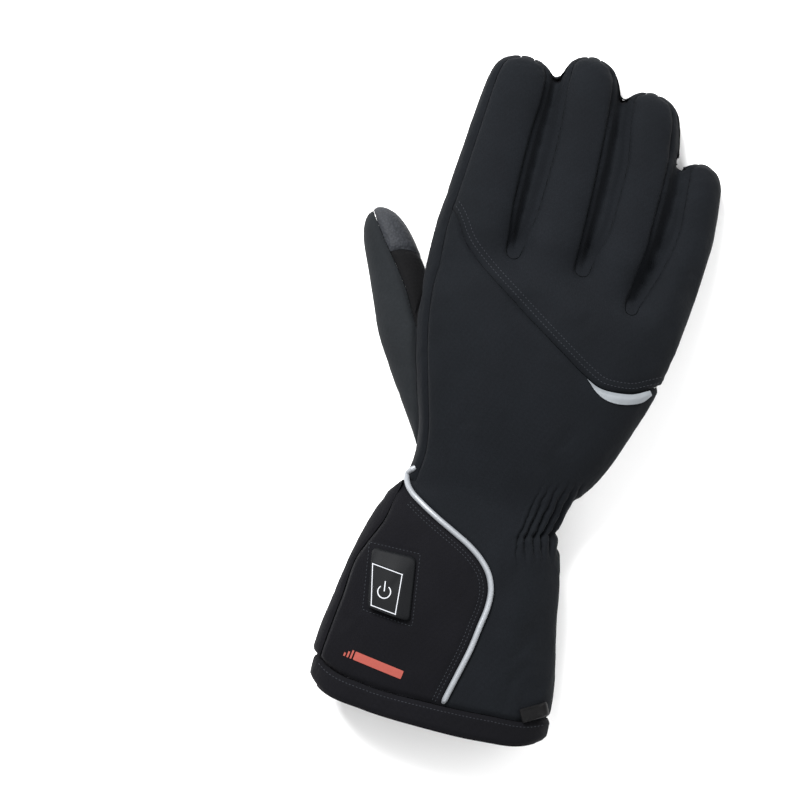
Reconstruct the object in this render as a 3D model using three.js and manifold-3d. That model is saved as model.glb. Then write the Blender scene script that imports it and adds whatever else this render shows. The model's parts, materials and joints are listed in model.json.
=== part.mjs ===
// Right-hand heated glove, lying palm down: padded panels sewn round an open hollow.
// X runs across the hand with the thumb at -X, Y from the hem to the fingertips, Z up from the table.
// Lengths are millimetres.

import * as THREE from 'three';
import { mergeVertices } from 'three/addons/utils/BufferGeometryUtils.js';
import Module from 'manifold-3d';

const wasm = await Module();
wasm.setup();

// Lengths along the glove
const cuffLength = 97; // hem line to the narrowest part of the wrist
const palmLength = 107; // wrist to the roots of the two middle fingers
const hemDepth = 12; // band round the mouth
const palmSeamBelowWrist = 9; // where the palm fabric meets the cuff

// Widths and heights of the main form
const mouthWidth = 109;
const cuffHeight = 44;
const wristWidth = 76;
const wristHeight = 34;
const palmHeight = 38;
const handShift = 6.6; // knuckles sit this far to the little finger side of the cuff
const fingerFan = 2.45; // further shift of the fingers half way up
const fingerTipFan = 0.15; // and at their tips
const fingerHeight = 25;

// Cloth
const wall = 3; // padded soft shell with its lining
const gap = 0.3; // between neighbouring pieces
const fingerGap = 0.8; // between neighbouring fingers
const seamInset = 4.6; // top seams lie this far inside a finger's edge
const sideInset = 5.4; // side strip on the thumb side of the hand
const palmWrap = 4; // the back reaches this far round to the palm at the little finger side

// Fingers: width at the root, half way up and at the tip, length from the root, and how far back
// the root sits
const fingers = [
  { name: 'index', rootWidth: 37.3, midWidth: 34, tipWidth: 30.5, length: 85.8, setBack: 0 },
  { name: 'middle', rootWidth: 31.1, midWidth: 32.5, tipWidth: 29.6, length: 92.8, setBack: 0 },
  { name: 'ring', rootWidth: 26.2, midWidth: 29.6, tipWidth: 27.4, length: 84, setBack: 0 },
  { name: 'little', rootWidth: 25.2, midWidth: 21, tipWidth: 19, length: 69.9, setBack: 11 },
];
const fingerMidReach = 46; // where midWidth is measured, from the root line
const fingerTipReach = 80; // and tipWidth

// Thumb
const thumbLength = 126;
const thumbWidth = 29;
const thumbHeight = 29;
const thumbSplay = 28.6; // degrees away from the fingers
const thumbBaseX = -18;
const thumbBaseAboveWrist = 3;
const thumbPatchTop = 18; // patch reach from the tip, on the upper face
const thumbPatchUnder = 34; // and on the lower face

// Pieces on the cuff
const flapThick = 2;
const flapWidth = 70;
const flapReach = 55; // from the thumb-side edge across the underside
const flapCorner = 7;
const flapAboveHem = 4;
const pocketRaise = 1.2;
const pocketPuff = 3.2; // extra at the thumb-side edge, where the pocket folds over the flap
const hemRaise = 0.8;
const pipingRadius = 1.5;
const pipingProud = 0.6;

// Button, tag and badge
const buttonWidth = 21.5;
const buttonLength = 26.5;
const buttonHeight = 3.2;
const buttonStep = 1.1;
const buttonCorner = 3;
const buttonTurn = -6;
const buttonX = -31.4;
const buttonY = 49.6;
const tagLength = 13.4;
const tagWidth = 6.4;
const tagThick = 1.4;
const tagTurn = 28;
const badgeThick = 0.6;
const badgeTurn = -7.5;
const badgeLabelLength = 22.5;
const badgeLabelWidth = 3.8;
const badgeBarWidth = 1;
const badgeBarPitch = 1.5;
const badgeTallBar = 3.8;

// Trim
const crescentThick = 0.6;
const gripThick = 0.8;
const gripWidth = 1.2;
const patchLength = 47; // index touch patch, from the tip
const pleatCount = 5;
const pleatPitch = 3.6;
const pleatDepth = 1.5;
const pleatWidth = 2.4;
const pleatLength = 25;

// Worked out from the sizes above
const knuckleY = cuffLength + palmLength;
const knuckleWidth = fingers.reduce((sum, finger) => sum + finger.rootWidth, 0);
const middleX = -0.034 * mouthWidth; // middle of the cuff
const far = 2 * knuckleY;
const flapOffset = gap + flapThick;

// Cuff: along in cuffLength, left and right in mouthWidth, low and high in cuffHeight
const cuffRows = [
  { along: -0.12, left: -0.502, right: 0.466, low: 0.036, high: 1.02 },
  { along: 0.1, left: -0.511, right: 0.467, low: 0.038, high: 1.03 },
  { along: 0.21, left: -0.511, right: 0.461, low: 0.038, high: 1.035 },
  { along: 0.41, left: -0.483, right: 0.426, low: 0.038, high: 1.03 },
  { along: 0.57, left: -0.469, right: 0.396, low: 0.038, high: 1.01 },
  { along: 0.7, left: -0.449, right: 0.385, low: 0.042, high: 0.98 },
  { along: 0.83, left: -0.421, right: 0.36, low: 0.07, high: 0.94 },
  { along: 0.925, left: -0.39, right: 0.322, low: 0.1, high: 0.91 },
];
// Wrist: along in palmLength past the wrist, widths in wristWidth, heights in wristHeight
const wristRows = [
  { along: 0, left: -0.515, right: 0.478, low: 0.165, high: 1.165 },
  { along: 0.065, left: -0.504, right: 0.503, low: 0.195, high: 1.2 },
];
// Hand: along in palmLength past the wrist, widths in knuckleWidth, heights in palmHeight
const palmRows = [
  { along: 0.168, left: -0.376, right: 0.326, low: 0.205, high: 1.13 },
  { along: 0.28, left: -0.397, right: 0.371, low: 0.226, high: 1.2 },
  { along: 0.42, left: -0.433, right: 0.412, low: 0.242, high: 1.25 },
  { along: 0.54, left: -0.462, right: 0.448, low: 0.253, high: 1.276 },
  { along: 0.68, left: -0.487, right: 0.475, low: 0.258, high: 1.276 },
  { along: 0.81, left: -0.497, right: 0.49, low: 0.263, high: 1.237 },
  { along: 0.87, left: -0.493, right: 0.4, low: 0.276, high: 1.197 },
  { along: 0.91, left: -0.478, right: 0.27, low: 0.316, high: 1.13 },
  { along: 0.955, left: -0.44, right: 0.2, low: 0.4, high: 1.01 },
  { along: 1, left: -0.37, right: 0.11, low: 0.52, high: 0.84 },
];
// Fingers: along in the finger's length, width in its own width, heights in fingerHeight, seam and
// edge in seamInset: edge is for the outer sides of the index and little fingers
const fingerRows = [
  { along: -0.28, width: 0.88, low: 0.5, high: 1.68, seam: 0.45, edge: 1 },
  { along: 0, width: 1, low: 0.38, high: 1.6, seam: 0.45, edge: 1 },
  { along: 0.27, width: 1, low: 0.29, high: 1.36, seam: 0.9, edge: 0.9 },
  { along: 0.56, width: 1, low: 0.13, high: 1.13, seam: 1, edge: 0.8 },
  { along: 0.86, width: 0.985, low: -0.02, high: 0.93, seam: 0.7, edge: 0.65 },
  { along: 0.945, width: 0.84, low: 0, high: 0.82, seam: 0.45, edge: 0.45 },
  { along: 0.983, width: 0.58, low: 0.1, high: 0.68, seam: 0.25, edge: 0.25 },
  { along: 1, width: 0.26, low: 0.24, high: 0.54, seam: 0.1, edge: 0.1 },
];
// Thumb: along in thumbLength, aside and half in thumbWidth, heights in thumbHeight
const thumbRows = [
  { along: 0, aside: 0.1, half: 0.46, low: 0.27, high: 1.1 },
  { along: 0.19, aside: 0.16, half: 0.5, low: 0.12, high: 1.12 },
  { along: 0.33, aside: 0.1, half: 0.52, low: 0.03, high: 1.08 },
  { along: 0.56, aside: 0, half: 0.5, low: 0, high: 0.98 },
  { along: 0.775, aside: 0.015, half: 0.425, low: -0.01, high: 0.87 },
  { along: 0.88, aside: -0.015, half: 0.375, low: -0.01, high: 0.8 },
  { along: 0.945, aside: -0.03, half: 0.29, low: 0.08, high: 0.7 },
  { along: 0.99, aside: -0.04, half: 0.12, low: 0.24, high: 0.53 },
];
// Seam along the thumb: along in thumbLength, aside in thumbWidth
const thumbSeamRows = [
  { along: -0.1, aside: 0.62 },
  { along: 0.2, aside: 0.36 },
  { along: 0.45, aside: 0.12 },
  { along: 0.72, aside: 0.06 },
  { along: 0.9, aside: -0.08 },
  { along: 1.1, aside: -0.16 },
];
// Hem: across in half the mouth, seam and edge in hemDepth
const hemRows = [
  { across: -1.3, seam: 1.6, edge: 0.9 },
  { across: -1, seam: 1.16, edge: 0.24 },
  { across: -0.85, seam: 0.72, edge: -0.2 },
  { across: -0.5, seam: 0.43, edge: -0.45 },
  { across: 0, seam: 0.39, edge: -0.54 },
  { across: 0.5, seam: 0.47, edge: -0.5 },
  { across: 0.85, seam: 0.6, edge: -0.16 },
  { across: 1, seam: 0.85, edge: 0.4 },
  { across: 1.3, seam: 1.2, edge: 0.9 },
];
// Diagonal knuckle seam: across in knuckleWidth, along in palmLength past the wrist
const knuckleSeam = [
  { across: -0.62, along: 1.17 },
  { across: -0.453, along: 1.117 },
  { across: -0.361, along: 0.987 },
  { across: -0.272, along: 0.907 },
  { across: -0.139, along: 0.807 },
  { across: 0.084, along: 0.648 },
  { across: 0.182, along: 0.583 },
  { across: 0.235, along: 0.557 },
  { across: 0.306, along: 0.555 },
  { across: 0.369, along: 0.568 },
  { across: 0.413, along: 0.593 },
  { across: 0.62, along: 0.72 },
];
// Lower edge of the crescent, in the same measures; its upper edge is the knuckle seam
const crescentLow = [
  { across: 0.182, along: 0.58 },
  { across: 0.226, along: 0.534 },
  { across: 0.262, along: 0.514 },
  { across: 0.306, along: 0.508 },
  { across: 0.36, along: 0.519 },
  { across: 0.405, along: 0.543 },
  { across: 0.43, along: 0.578 },
];
// Fold of the pocket over the flap: along in cuffLength, across in mouthWidth
const foldRows = [
  { along: 1.02, across: -0.34 },
  { along: 0.9, across: -0.367 },
  { along: 0.81, across: -0.383 },
  { along: 0.68, across: -0.431 },
  { along: 0.62, across: -0.453 },
  { along: 0.41, across: -0.475 },
  { along: 0.16, across: -0.498 },
  { along: -0.2, across: -0.51 },
];
// Piping: along in cuffLength, across in mouthWidth
const pipingRows = [
  { along: 1.058, across: -0.312 },
  { along: 1.026, across: -0.336 },
  { along: 0.988, across: -0.332 },
  { along: 0.948, across: -0.305 },
  { along: 0.914, across: -0.26 },
  { along: 0.866, across: -0.183 },
  { along: 0.82, across: -0.099 },
  { along: 0.776, across: -0.023 },
  { along: 0.734, across: 0.03 },
  { along: 0.678, across: 0.076 },
  { along: 0.613, across: 0.101 },
  { along: 0.536, across: 0.106 },
  { along: 0.443, across: 0.095 },
  { along: 0.33, across: 0.081 },
  { along: 0.227, across: 0.061 },
  { along: 0.134, across: 0.042 },
  { along: 0.02, across: 0.02 },
];
// Grip lines: start, corner and end, across in knuckleWidth and along in palmLength past the wrist
const gripRows = [
  { from: [-0.37, 0.928], corner: [-0.303, 0.926], to: [-0.27, 0.96] },
  { from: [-0.382, 0.884], corner: [-0.27, 0.9], to: [-0.228, 0.932] },
  { from: [-0.374, 0.844], corner: [-0.236, 0.867], to: [-0.178, 0.928] },
  { from: [-0.361, 0.802], corner: [-0.178, 0.839], to: [-0.124, 0.909] },
  { from: [-0.353, 0.755], corner: [-0.136, 0.793], to: [-0.053, 0.923] },
  { from: [-0.328, 0.722], corner: [-0.078, 0.755], to: [0.018, 0.956] },
  { from: [-0.287, 0.69], corner: [-0.036, 0.718], to: [0.051, 0.9] },
  { from: [-0.253, 0.648], corner: [-0.003, 0.671], to: [0.11, 0.881] },
  { from: [-0.195, 0.61], corner: [0.047, 0.634], to: [0.172, 0.9] },
  { from: [-0.12, 0.573], corner: [0.089, 0.577], to: [0.239, 0.905] },
  { from: [-0.103, 0.531], corner: [0.139, 0.531], to: [0.285, 0.872] },
  { from: [-0.061, 0.493], corner: [0.139, 0.471], to: [0.205, 0.53] },
];

// Colour, roughness and metalness of each finish
const finishes = {
  softShell: [0x2a2b30, 0.82, 0],
  thumbShell: [0x36383d, 0.8, 0],
  cuffShell: [0x222328, 0.82, 0],
  palmCloth: [0x19191a, 0.86, 0],
  touchGrain: [0x34363b, 0.66, 0],
  hemCloth: [0x1e1f23, 0.84, 0],
  pipingGrey: [0xafb2b4, 0.5, 0],
  reflective: [0xc8cbd0, 0.35, 0],
  buttonRubber: [0x2b2e32, 0.45, 0],
  tagRubber: [0x1c1c1e, 0.5, 0],
  badgeRed: [0xde5c48, 0.55, 0],
  gripSilicone: [0x202124, 0.3, 0],
};

// Solids: closed lofts, upright prisms, and the way in and out of the joining library

function toSolid(geometry) {
  geometry.deleteAttribute('normal');
  geometry.deleteAttribute('uv');
  const merged = mergeVertices(geometry);
  const vertProperties = new Float32Array(merged.attributes.position.array);
  const triVerts = new Uint32Array(merged.index.array);
  return new wasm.Manifold(new wasm.Mesh({ numProp: 3, vertProperties, triVerts }));
}

// Cuts leave empty slivers and needless points, which go before the mesh is made
const tolerance = 0.05;
const sliverVolume = 0.05;

function toGeometry(solid) {
  const bodies = solid.simplify(tolerance).decompose();
  const mesh = union(bodies.filter((body) => body.volume() > sliverVolume)).getMesh();
  const geometry = new THREE.BufferGeometry();
  geometry.setAttribute('position', new THREE.BufferAttribute(mesh.vertProperties, 3));
  geometry.setIndex(new THREE.BufferAttribute(mesh.triVerts, 1));
  geometry.computeVertexNormals();
  return geometry;
}

// A closed skin through rings of equal length, each ring running from +x towards +z
function loft(rings) {
  const sides = rings[0].length;
  const ends = [rings[0], rings[rings.length - 1]];
  const middles = ends.map((ring) => {
    return ring.reduce((sum, point) => sum.add(point), new THREE.Vector3()).divideScalar(sides);
  });
  const points = [...rings.flat(), ...middles];
  const startMiddle = points.length - 2;
  const endMiddle = points.length - 1;
  const lastRing = (rings.length - 1) * sides;
  const index = [];
  for (let side = 0; side < sides; side += 1) {
    const next = (side + 1) % sides;
    for (let ring = 0; ring < lastRing; ring += sides) {
      index.push(ring + side, ring + sides + side, ring + sides + next);
      index.push(ring + side, ring + sides + next, ring + next);
    }
    index.push(startMiddle, side, next);
    index.push(endMiddle, lastRing + next, lastRing + side);
  }
  const geometry = new THREE.BufferGeometry().setFromPoints(points);
  geometry.setIndex(index);
  return toSolid(geometry);
}

// An upright prism on an outline of [x, y] points
function column(outline, low = -far, high = far) {
  const shape = new THREE.Shape(outline.map(([x, y]) => new THREE.Vector2(x, y)));
  const geometry = new THREE.ExtrudeGeometry(shape, { depth: high - low, bevelEnabled: false });
  geometry.translate(0, 0, low);
  return toSolid(geometry);
}

function union(solids) {
  return solids.reduce((sum, solid) => sum.add(solid));
}

// Stations: a place, a direction and an oval section, with the offset of a skin inside or outside it

const bodyPower = 2.5;
const fingerPower = 2.35;

function mix(from, to, share) {
  return from + (to - from) * share;
}

function ovalRing(station, offset, sides) {
  const { x, y, half, low, high, power } = station;
  const turn = station.turn ?? 0;
  const middle = (low + high) / 2;
  const halfHeight = (high - low) / 2 + offset;
  const points = [];
  for (let side = 0; side < sides; side += 1) {
    const angle = (2 * Math.PI * side) / sides;
    const wide = Math.sign(Math.cos(angle)) * Math.abs(Math.cos(angle)) ** (2 / power);
    const tall = Math.sign(Math.sin(angle)) * Math.abs(Math.sin(angle)) ** (2 / power);
    const across = wide * (half + offset);
    points.push(new THREE.Vector3(
      x + across * Math.cos(turn),
      y + across * Math.sin(turn),
      middle + tall * halfHeight,
    ));
  }
  return points;
}

function bodyStation(y, left, right, low, high) {
  return { x: (left + right) / 2, y, half: (right - left) / 2, low, high, power: bodyPower };
}

const cuffStations = cuffRows.map((row) => bodyStation(
  row.along * cuffLength,
  row.left * mouthWidth,
  row.right * mouthWidth,
  row.low * cuffHeight,
  row.high * cuffHeight,
));
const wristStations = wristRows.map((row) => bodyStation(
  cuffLength + row.along * palmLength,
  row.left * wristWidth,
  row.right * wristWidth,
  row.low * wristHeight,
  row.high * wristHeight,
));
const palmStations = palmRows.map((row) => bodyStation(
  cuffLength + row.along * palmLength,
  handShift + row.left * knuckleWidth,
  handShift + row.right * knuckleWidth,
  row.low * palmHeight,
  row.high * palmHeight,
));
const bodyStations = [...cuffStations, ...wristStations, ...palmStations];

// The body's oval at any height y, between the two nearest stations
function bodyAt(y) {
  const last = bodyStations.length - 1;
  const found = bodyStations.findIndex((station) => station.y >= y);
  const upper = found < 0 ? last : Math.max(found, 1);
  const from = bodyStations[upper - 1];
  const to = bodyStations[upper];
  const share = (y - from.y) / (to.y - from.y);
  const keys = ['x', 'half', 'low', 'high'];
  const values = keys.map((key) => [key, mix(from[key], to[key], share)]);
  return { ...Object.fromEntries(values), y, power: bodyPower };
}

// Height of the body's skin over the point x, y: side is 1 on the back and -1 on the palm
function skinHeight(x, y, side) {
  const { x: middleOfBody, half, low, high, power } = bodyAt(y);
  const share = Math.min(Math.abs(x - middleOfBody) / half, 1);
  const rise = (1 - share ** power) ** (1 / power);
  return (low + high) / 2 + (side * rise * (high - low)) / 2;
}

// The place of line number `line` between the fingers, measured across one of their three widths
function lineAcross(line, key, shift) {
  const across = fingers.reduce((sum, finger) => sum + finger[key], 0);
  const before = fingers.slice(0, line).reduce((sum, finger) => sum + finger[key], 0);
  return handShift + shift + before - across / 2;
}

// Lines between the fingers: x of line number `line` at height y, bowed through its three places
// and straight below the root
function fingerLine(line, y) {
  const root = lineAcross(line, 'rootWidth', 0);
  const mid = lineAcross(line, 'midWidth', fingerFan);
  const tip = lineAcross(line, 'tipWidth', fingerTipFan);
  const reach = y - knuckleY;
  const slope = (mid - root) / fingerMidReach;
  const bow = ((tip - root) / fingerTipReach - slope) / (fingerTipReach - fingerMidReach);
  return root + reach * slope + Math.max(reach, 0) * bow * (reach - fingerMidReach);
}

function fingerStations(number, lengthShift = 0) {
  const finger = fingers[number];
  const leftKey = number === 0 ? 'edge' : 'seam';
  const rightKey = number === fingers.length - 1 ? 'edge' : 'seam';
  return fingerRows.map((row) => {
    const y = knuckleY - finger.setBack + row.along * finger.length;
    const left = fingerLine(number, y) + fingerGap / 2;
    const right = fingerLine(number + 1, y) - fingerGap / 2;
    const half = ((right - left) / 2) * row.width;
    const x = (left + right) / 2;
    return {
      x,
      y: y + Math.max(row.along, 0) * lengthShift,
      half,
      low: row.low * fingerHeight,
      high: row.high * fingerHeight,
      power: fingerPower,
      leftSeam: x - half + row[leftKey] * seamInset,
      rightSeam: x + half - row[rightKey] * seamInset,
    };
  });
}

const thumbTurn = THREE.MathUtils.degToRad(thumbSplay);

function thumbPoint(along, aside) {
  const base = [thumbBaseX, cuffLength + thumbBaseAboveWrist];
  const forward = along * thumbLength;
  const sideways = aside * thumbWidth;
  return [
    base[0] - forward * Math.sin(thumbTurn) + sideways * Math.cos(thumbTurn),
    base[1] + forward * Math.cos(thumbTurn) + sideways * Math.sin(thumbTurn),
  ];
}

function thumbStations(lengthShift = 0) {
  return thumbRows.map((row) => {
    const [x, y] = thumbPoint(row.along * (1 + lengthShift / thumbLength), row.aside);
    return {
      x,
      y,
      half: row.half * thumbWidth,
      low: row.low * thumbHeight,
      high: row.high * thumbHeight,
      turn: thumbTurn,
      power: fingerPower,
    };
  });
}

const bodySides = 30;
const fingerSides = 14;
const liningSides = 18;
const liningRound = 10;

// The glove without its thumb, grown by an offset: hand, cuff and the four fingers in one solid
function handSolid(offset, stations = bodyStations, sides = bodySides, round = fingerSides) {
  const body = loft(stations.map((station) => ovalRing(station, offset, sides)));
  const rods = fingers.map((finger, number) => {
    const rings = fingerStations(number, offset).map((station) => ovalRing(station, offset, round));
    return loft(rings);
  });
  return union([body, ...rods]);
}

function thumbSolid(offset, sides = fingerSides) {
  return loft(thumbStations(offset).map((station) => ovalRing(station, offset, sides)));
}

const tableBlock = column([[-far, -far], [far, -far], [far, far], [-far, far]], 0, far);

function onTable(solid) {
  return solid.intersect(tableBlock);
}

// Seams: each cutter covers one piece's zone, grown by `grow` when it clears its neighbours

function hemZone(grow) {
  const seam = hemRows.map((row) => [
    middleX + row.across * (mouthWidth / 2),
    row.seam * hemDepth + grow,
  ]);
  return column([...seam, [far, -far], [-far, -far]]);
}

function belowHem() {
  const edge = hemRows.map((row) => [
    middleX + row.across * (mouthWidth / 2),
    row.edge * hemDepth,
  ]);
  return column([...edge, [far, -far], [-far, -far]]);
}

function seamPoints(number, side, grow) {
  const points = fingerStations(number).filter((station, row) => fingerRows[row].along > 0);
  return points.map((station) => [station[side] + grow, station.y]);
}

// The strip between two fingers: down one finger's seam, round the crotch, up the next one's
function fourchetteZone(number, grow) {
  const down = seamPoints(number, 'rightSeam', -grow).reverse();
  const up = seamPoints(number + 1, 'leftSeam', grow);
  const setBack = Math.max(fingers[number].setBack, fingers[number + 1].setBack);
  const crotchY = knuckleY - setBack;
  const middle = fingerLine(number + 1, crotchY);
  const radius = fingerGap / 2 + seamInset * fingerRows[1].seam + grow;
  const round = [];
  const steps = 6;
  for (let step = 0; step <= steps; step += 1) {
    const angle = Math.PI * (1 + step / steps);
    round.push([middle + radius * Math.cos(angle), crotchY + radius * Math.sin(angle) * 0.9]);
  }
  const top = [
    [up[up.length - 1][0], far],
    [down[0][0], far],
  ];
  return column([...down, ...round, ...up, ...top]);
}

// The thumb-side strip: everything left of the index seam and of its run down the hand
function sideZone(grow) {
  const seam = seamPoints(0, 'leftSeam', grow).reverse();
  const hand = [...wristStations, ...palmStations.slice(0, 7)].reverse().map((station) => [
    station.x - station.half + sideInset + grow,
    station.y,
  ]);
  const flapTop = flapTopLine(-grow);
  return column([[seam[0][0], far], ...seam, ...hand, ...flapTop.reverse(), [-far, far]]);
}

// Upper edge of the closure flap, where it goes round the thumb-side edge. Its sharp corners move
// further than its sides as it grows
function flapTopLine(grow) {
  return [
    [-far, 0.86 * cuffLength + grow],
    [-0.45 * mouthWidth - 0.5 * grow, 0.86 * cuffLength + grow],
    [-0.348 * mouthWidth + 1.8 * grow, cuffLength + 3.8 * grow],
  ];
}

function foldLine(grow) {
  return foldRows.map((row) => [row.across * mouthWidth + grow, row.along * cuffLength]);
}

function flapEdgeZone(grow) {
  const fold = foldLine(grow);
  const below = fold.filter(([, y]) => y < 0.96 * cuffLength);
  const foot = below[below.length - 1][1];
  return column([...flapTopLine(grow - gap), ...below, [-far, foot]]);
}

// The palm side: below the middle height of the body and of each finger
function palmZone(grow) {
  const slab = (y, left, right, top) => [
    new THREE.Vector3(right, y, top),
    new THREE.Vector3(left, y, top),
    new THREE.Vector3(left, y, -far),
    new THREE.Vector3(right, y, -far),
  ];
  const middleHeight = (station) => (station.low + station.high) / 2 + grow;
  const body = bodyStations.slice(0, -3);
  const hand = loft(body.map((station) => slab(
    station.y,
    -far,
    station.x + station.half - palmWrap + grow,
    middleHeight(station),
  )));
  const rods = fingers.map((finger, number) => {
    const stations = fingerStations(number);
    const last = stations[stations.length - 1];
    const beyond = { ...last, y: last.y + wall };
    return loft([...stations, beyond].map((station) => slab(
      station.y,
      fingerLine(number, station.y) - gap / 2,
      number === fingers.length - 1 ? station.rightSeam + grow : fingerLine(number + 1, station.y) + gap / 2,
      middleHeight(station),
    )));
  });
  return union([hand, ...rods]);
}

function pipingLine() {
  return pipingRows.map((row) => [row.across * mouthWidth, row.along * cuffLength]);
}

function pocketZone(grow) {
  const fold = foldLine(-wall);
  const seam = pipingLine().slice(2).map(([x, y]) => [x + grow, y + grow]).reverse();
  const foot = fold[fold.length - 1][1];
  return column([[seam[0][0], foot], ...seam, ...fold]);
}

function handPoint({ across, along }) {
  return [handShift + across * knuckleWidth, cuffLength + along * palmLength];
}

function knuckleZone(grow) {
  const seam = knuckleSeam.map(handPoint).map(([x, y]) => [x, y - grow]);
  return column([[-far, seam[0][1]], ...seam, [far, seam[seam.length - 1][1]], [far, far], [-far, far]]);
}

function patchZone(grow) {
  const stations = fingerStations(0);
  const tip = stations[stations.length - 1].y;
  const [left, right] = [fingerLine(0, tip) - wall, fingerLine(1, tip)];
  const foot = tip - patchLength - grow;
  return column([[left, foot + 1.5], [right, foot], [right, far], [left, far]]);
}

function thumbBackZone(grow) {
  const seam = thumbSeamRows.map((row) => thumbPoint(row.along, row.aside + grow / thumbWidth));
  const outside = [thumbPoint(1.1, -4), thumbPoint(-0.1, -4)];
  return column([...seam, ...outside]);
}

function thumbPatchZone(grow) {
  const ring = (distance, height) => {
    const along = 1 - (distance + grow) / thumbLength;
    return [-2, 2].map((aside) => new THREE.Vector3(...thumbPoint(along, aside), height));
  };
  const slope = (thumbPatchUnder - thumbPatchTop) / thumbHeight;
  const [underLeft, underRight] = ring(thumbPatchUnder + slope * thumbHeight, -thumbHeight);
  const [topLeft, topRight] = ring(thumbPatchTop - slope * thumbHeight, 2 * thumbHeight);
  const ahead = (height) => [2, -2].map((aside) => {
    return new THREE.Vector3(...thumbPoint(2, aside), height);
  });
  const lower = [underLeft, underRight, ...ahead(-thumbHeight)];
  const upper = [topLeft, topRight, ...ahead(2 * thumbHeight)];
  return loft([upper, lower]);
}

// Overlays: a thin piece between two skins, inside an outline, on the back or on the palm side

function overHand(outline, base, top, side) {
  const skin = handSolid(top).subtract(handSolid(base));
  const middle = (wristHeight * (wristRows[0].low + wristRows[0].high)) / 2;
  const band = side > 0 ? column(outline, middle, far) : column(outline, -far, middle);
  return skin.intersect(band);
}

function turned(points, angle, x, y) {
  const turn = THREE.MathUtils.degToRad(angle);
  return points.map(([u, v]) => [
    x + u * Math.cos(turn) - v * Math.sin(turn),
    y + u * Math.sin(turn) + v * Math.cos(turn),
  ]);
}

function rectangle(width, length) {
  return [
    [-width / 2, -length / 2],
    [width / 2, -length / 2],
    [width / 2, length / 2],
    [-width / 2, length / 2],
  ];
}

function roundedRectangle(width, length, radius, steps = 3) {
  const corners = rectangle(width - 2 * radius, length - 2 * radius);
  return corners.flatMap(([x, y], corner) => {
    return Array.from({ length: steps + 1 }, (unused, step) => {
      const angle = Math.PI * (1 + corner / 2 + step / (2 * steps));
      return [x + radius * Math.cos(angle), y + radius * Math.sin(angle)];
    });
  });
}

// The outline of a line of the given width through a few points
function stroke(points, width) {
  const vectors = points.map(([x, y]) => new THREE.Vector2(x, y));
  const sides = vectors.map((point, number) => {
    const before = vectors[Math.max(number - 1, 0)];
    const after = vectors[Math.min(number + 1, vectors.length - 1)];
    const along = after.clone().sub(before).normalize();
    return new THREE.Vector2(-along.y, along.x).multiplyScalar(width / 2);
  });
  const left = vectors.map((point, number) => point.clone().add(sides[number]).toArray());
  const right = vectors.map((point, number) => point.clone().sub(sides[number]).toArray());
  return [...left, ...right.reverse()];
}

// Skins shared by the pieces

const handOuter = onTable(handSolid(0));
const liningStations = [
  { ...bodyStations[0], y: -cuffLength },
  ...bodyStations.filter((station, number) => number % 2 === 1),
  bodyStations[bodyStations.length - 1],
];
const lastLining = liningStations[liningStations.length - 1];
lastLining.y = Math.min(lastLining.y, knuckleY) - wall;
const hollow = handSolid(-wall, liningStations, liningSides, liningRound);
const thumbHollow = thumbSolid(-wall, liningRound);
const handHollow = union([hollow, thumbHollow]);
const hemTrim = belowHem();

// Pleats: small V-shaped furrows where elastic draws in the wrist at the little finger side
function pleats(side) {
  const furrows = [];
  for (let number = 0; number < pleatCount; number += 1) {
    const start = bodyAt(cuffLength - pleatLength / 2);
    const inset = side > 0 ? palmWrap : palmWrap + pleatPitch;
    const startX = start.x + start.half - inset - number * pleatPitch;
    const lean = mix(0.34, 0.16, number / pleatCount);
    const rings = [0, 0.25, 0.5, 0.75, 1].map((share) => {
      const y = cuffLength + (share - 0.5) * pleatLength;
      const x = startX + lean * share * pleatLength;
      const deep = pleatDepth * Math.sin(Math.PI * mix(0.06, 0.94, share));
      const edges = [pleatWidth / 2, -pleatWidth / 2].map((shift) => {
        return new THREE.Vector3(x + shift, y, skinHeight(x + shift, y, side) + side);
      });
      const bottom = new THREE.Vector3(x, y, skinHeight(x, y, side) - side * deep);
      return side > 0 ? [...edges, bottom] : [edges[1], edges[0], bottom];
    });
    furrows.push(loft(rings));
  }
  return union(furrows);
}

// Piping: a round cord that follows the skin over the seam of the pocket panel
function pipingTube(radius) {
  const points = pipingLine().map(([x, y]) => {
    return new THREE.Vector3(x, y, skinHeight(x, y, 1) + pipingProud);
  });
  const path = new THREE.CatmullRomCurve3(points);
  const circle = new THREE.Shape(Array.from({ length: 8 }, (unused, side) => {
    const angle = (side * Math.PI) / 4;
    return new THREE.Vector2(radius * Math.cos(angle), radius * Math.sin(angle));
  }));
  const steps = pipingRows.length + 2;
  return toSolid(new THREE.ExtrudeGeometry(circle, { steps, extrudePath: path, bevelEnabled: false }));
}

const pipingBed = pipingTube(pipingRadius + gap);
const furrows = union([pleats(1), pleats(-1), pipingBed]);
const handShell = handOuter.subtract(handHollow).subtract(hemTrim).subtract(furrows);

// Each step takes one piece's zone out of the shell and leaves a gap round it
const solids = {};
let rest = handShell;

function take(name, zone, base = rest) {
  solids[name] = base.intersect(zone(0));
  rest = rest.subtract(zone(gap));
}

const raisedHem = onTable(handSolid(hemRaise)).subtract(handHollow).subtract(hemTrim);
take('hem_band', hemZone, raisedHem);
for (let number = 0; number < fingers.length - 1; number += 1) {
  const zone = (grow) => fourchetteZone(number, grow);
  take(`fourchette_${fingers[number].name}_${fingers[number + 1].name}`, zone);
}
take('index_side_strip', sideZone);

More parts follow.
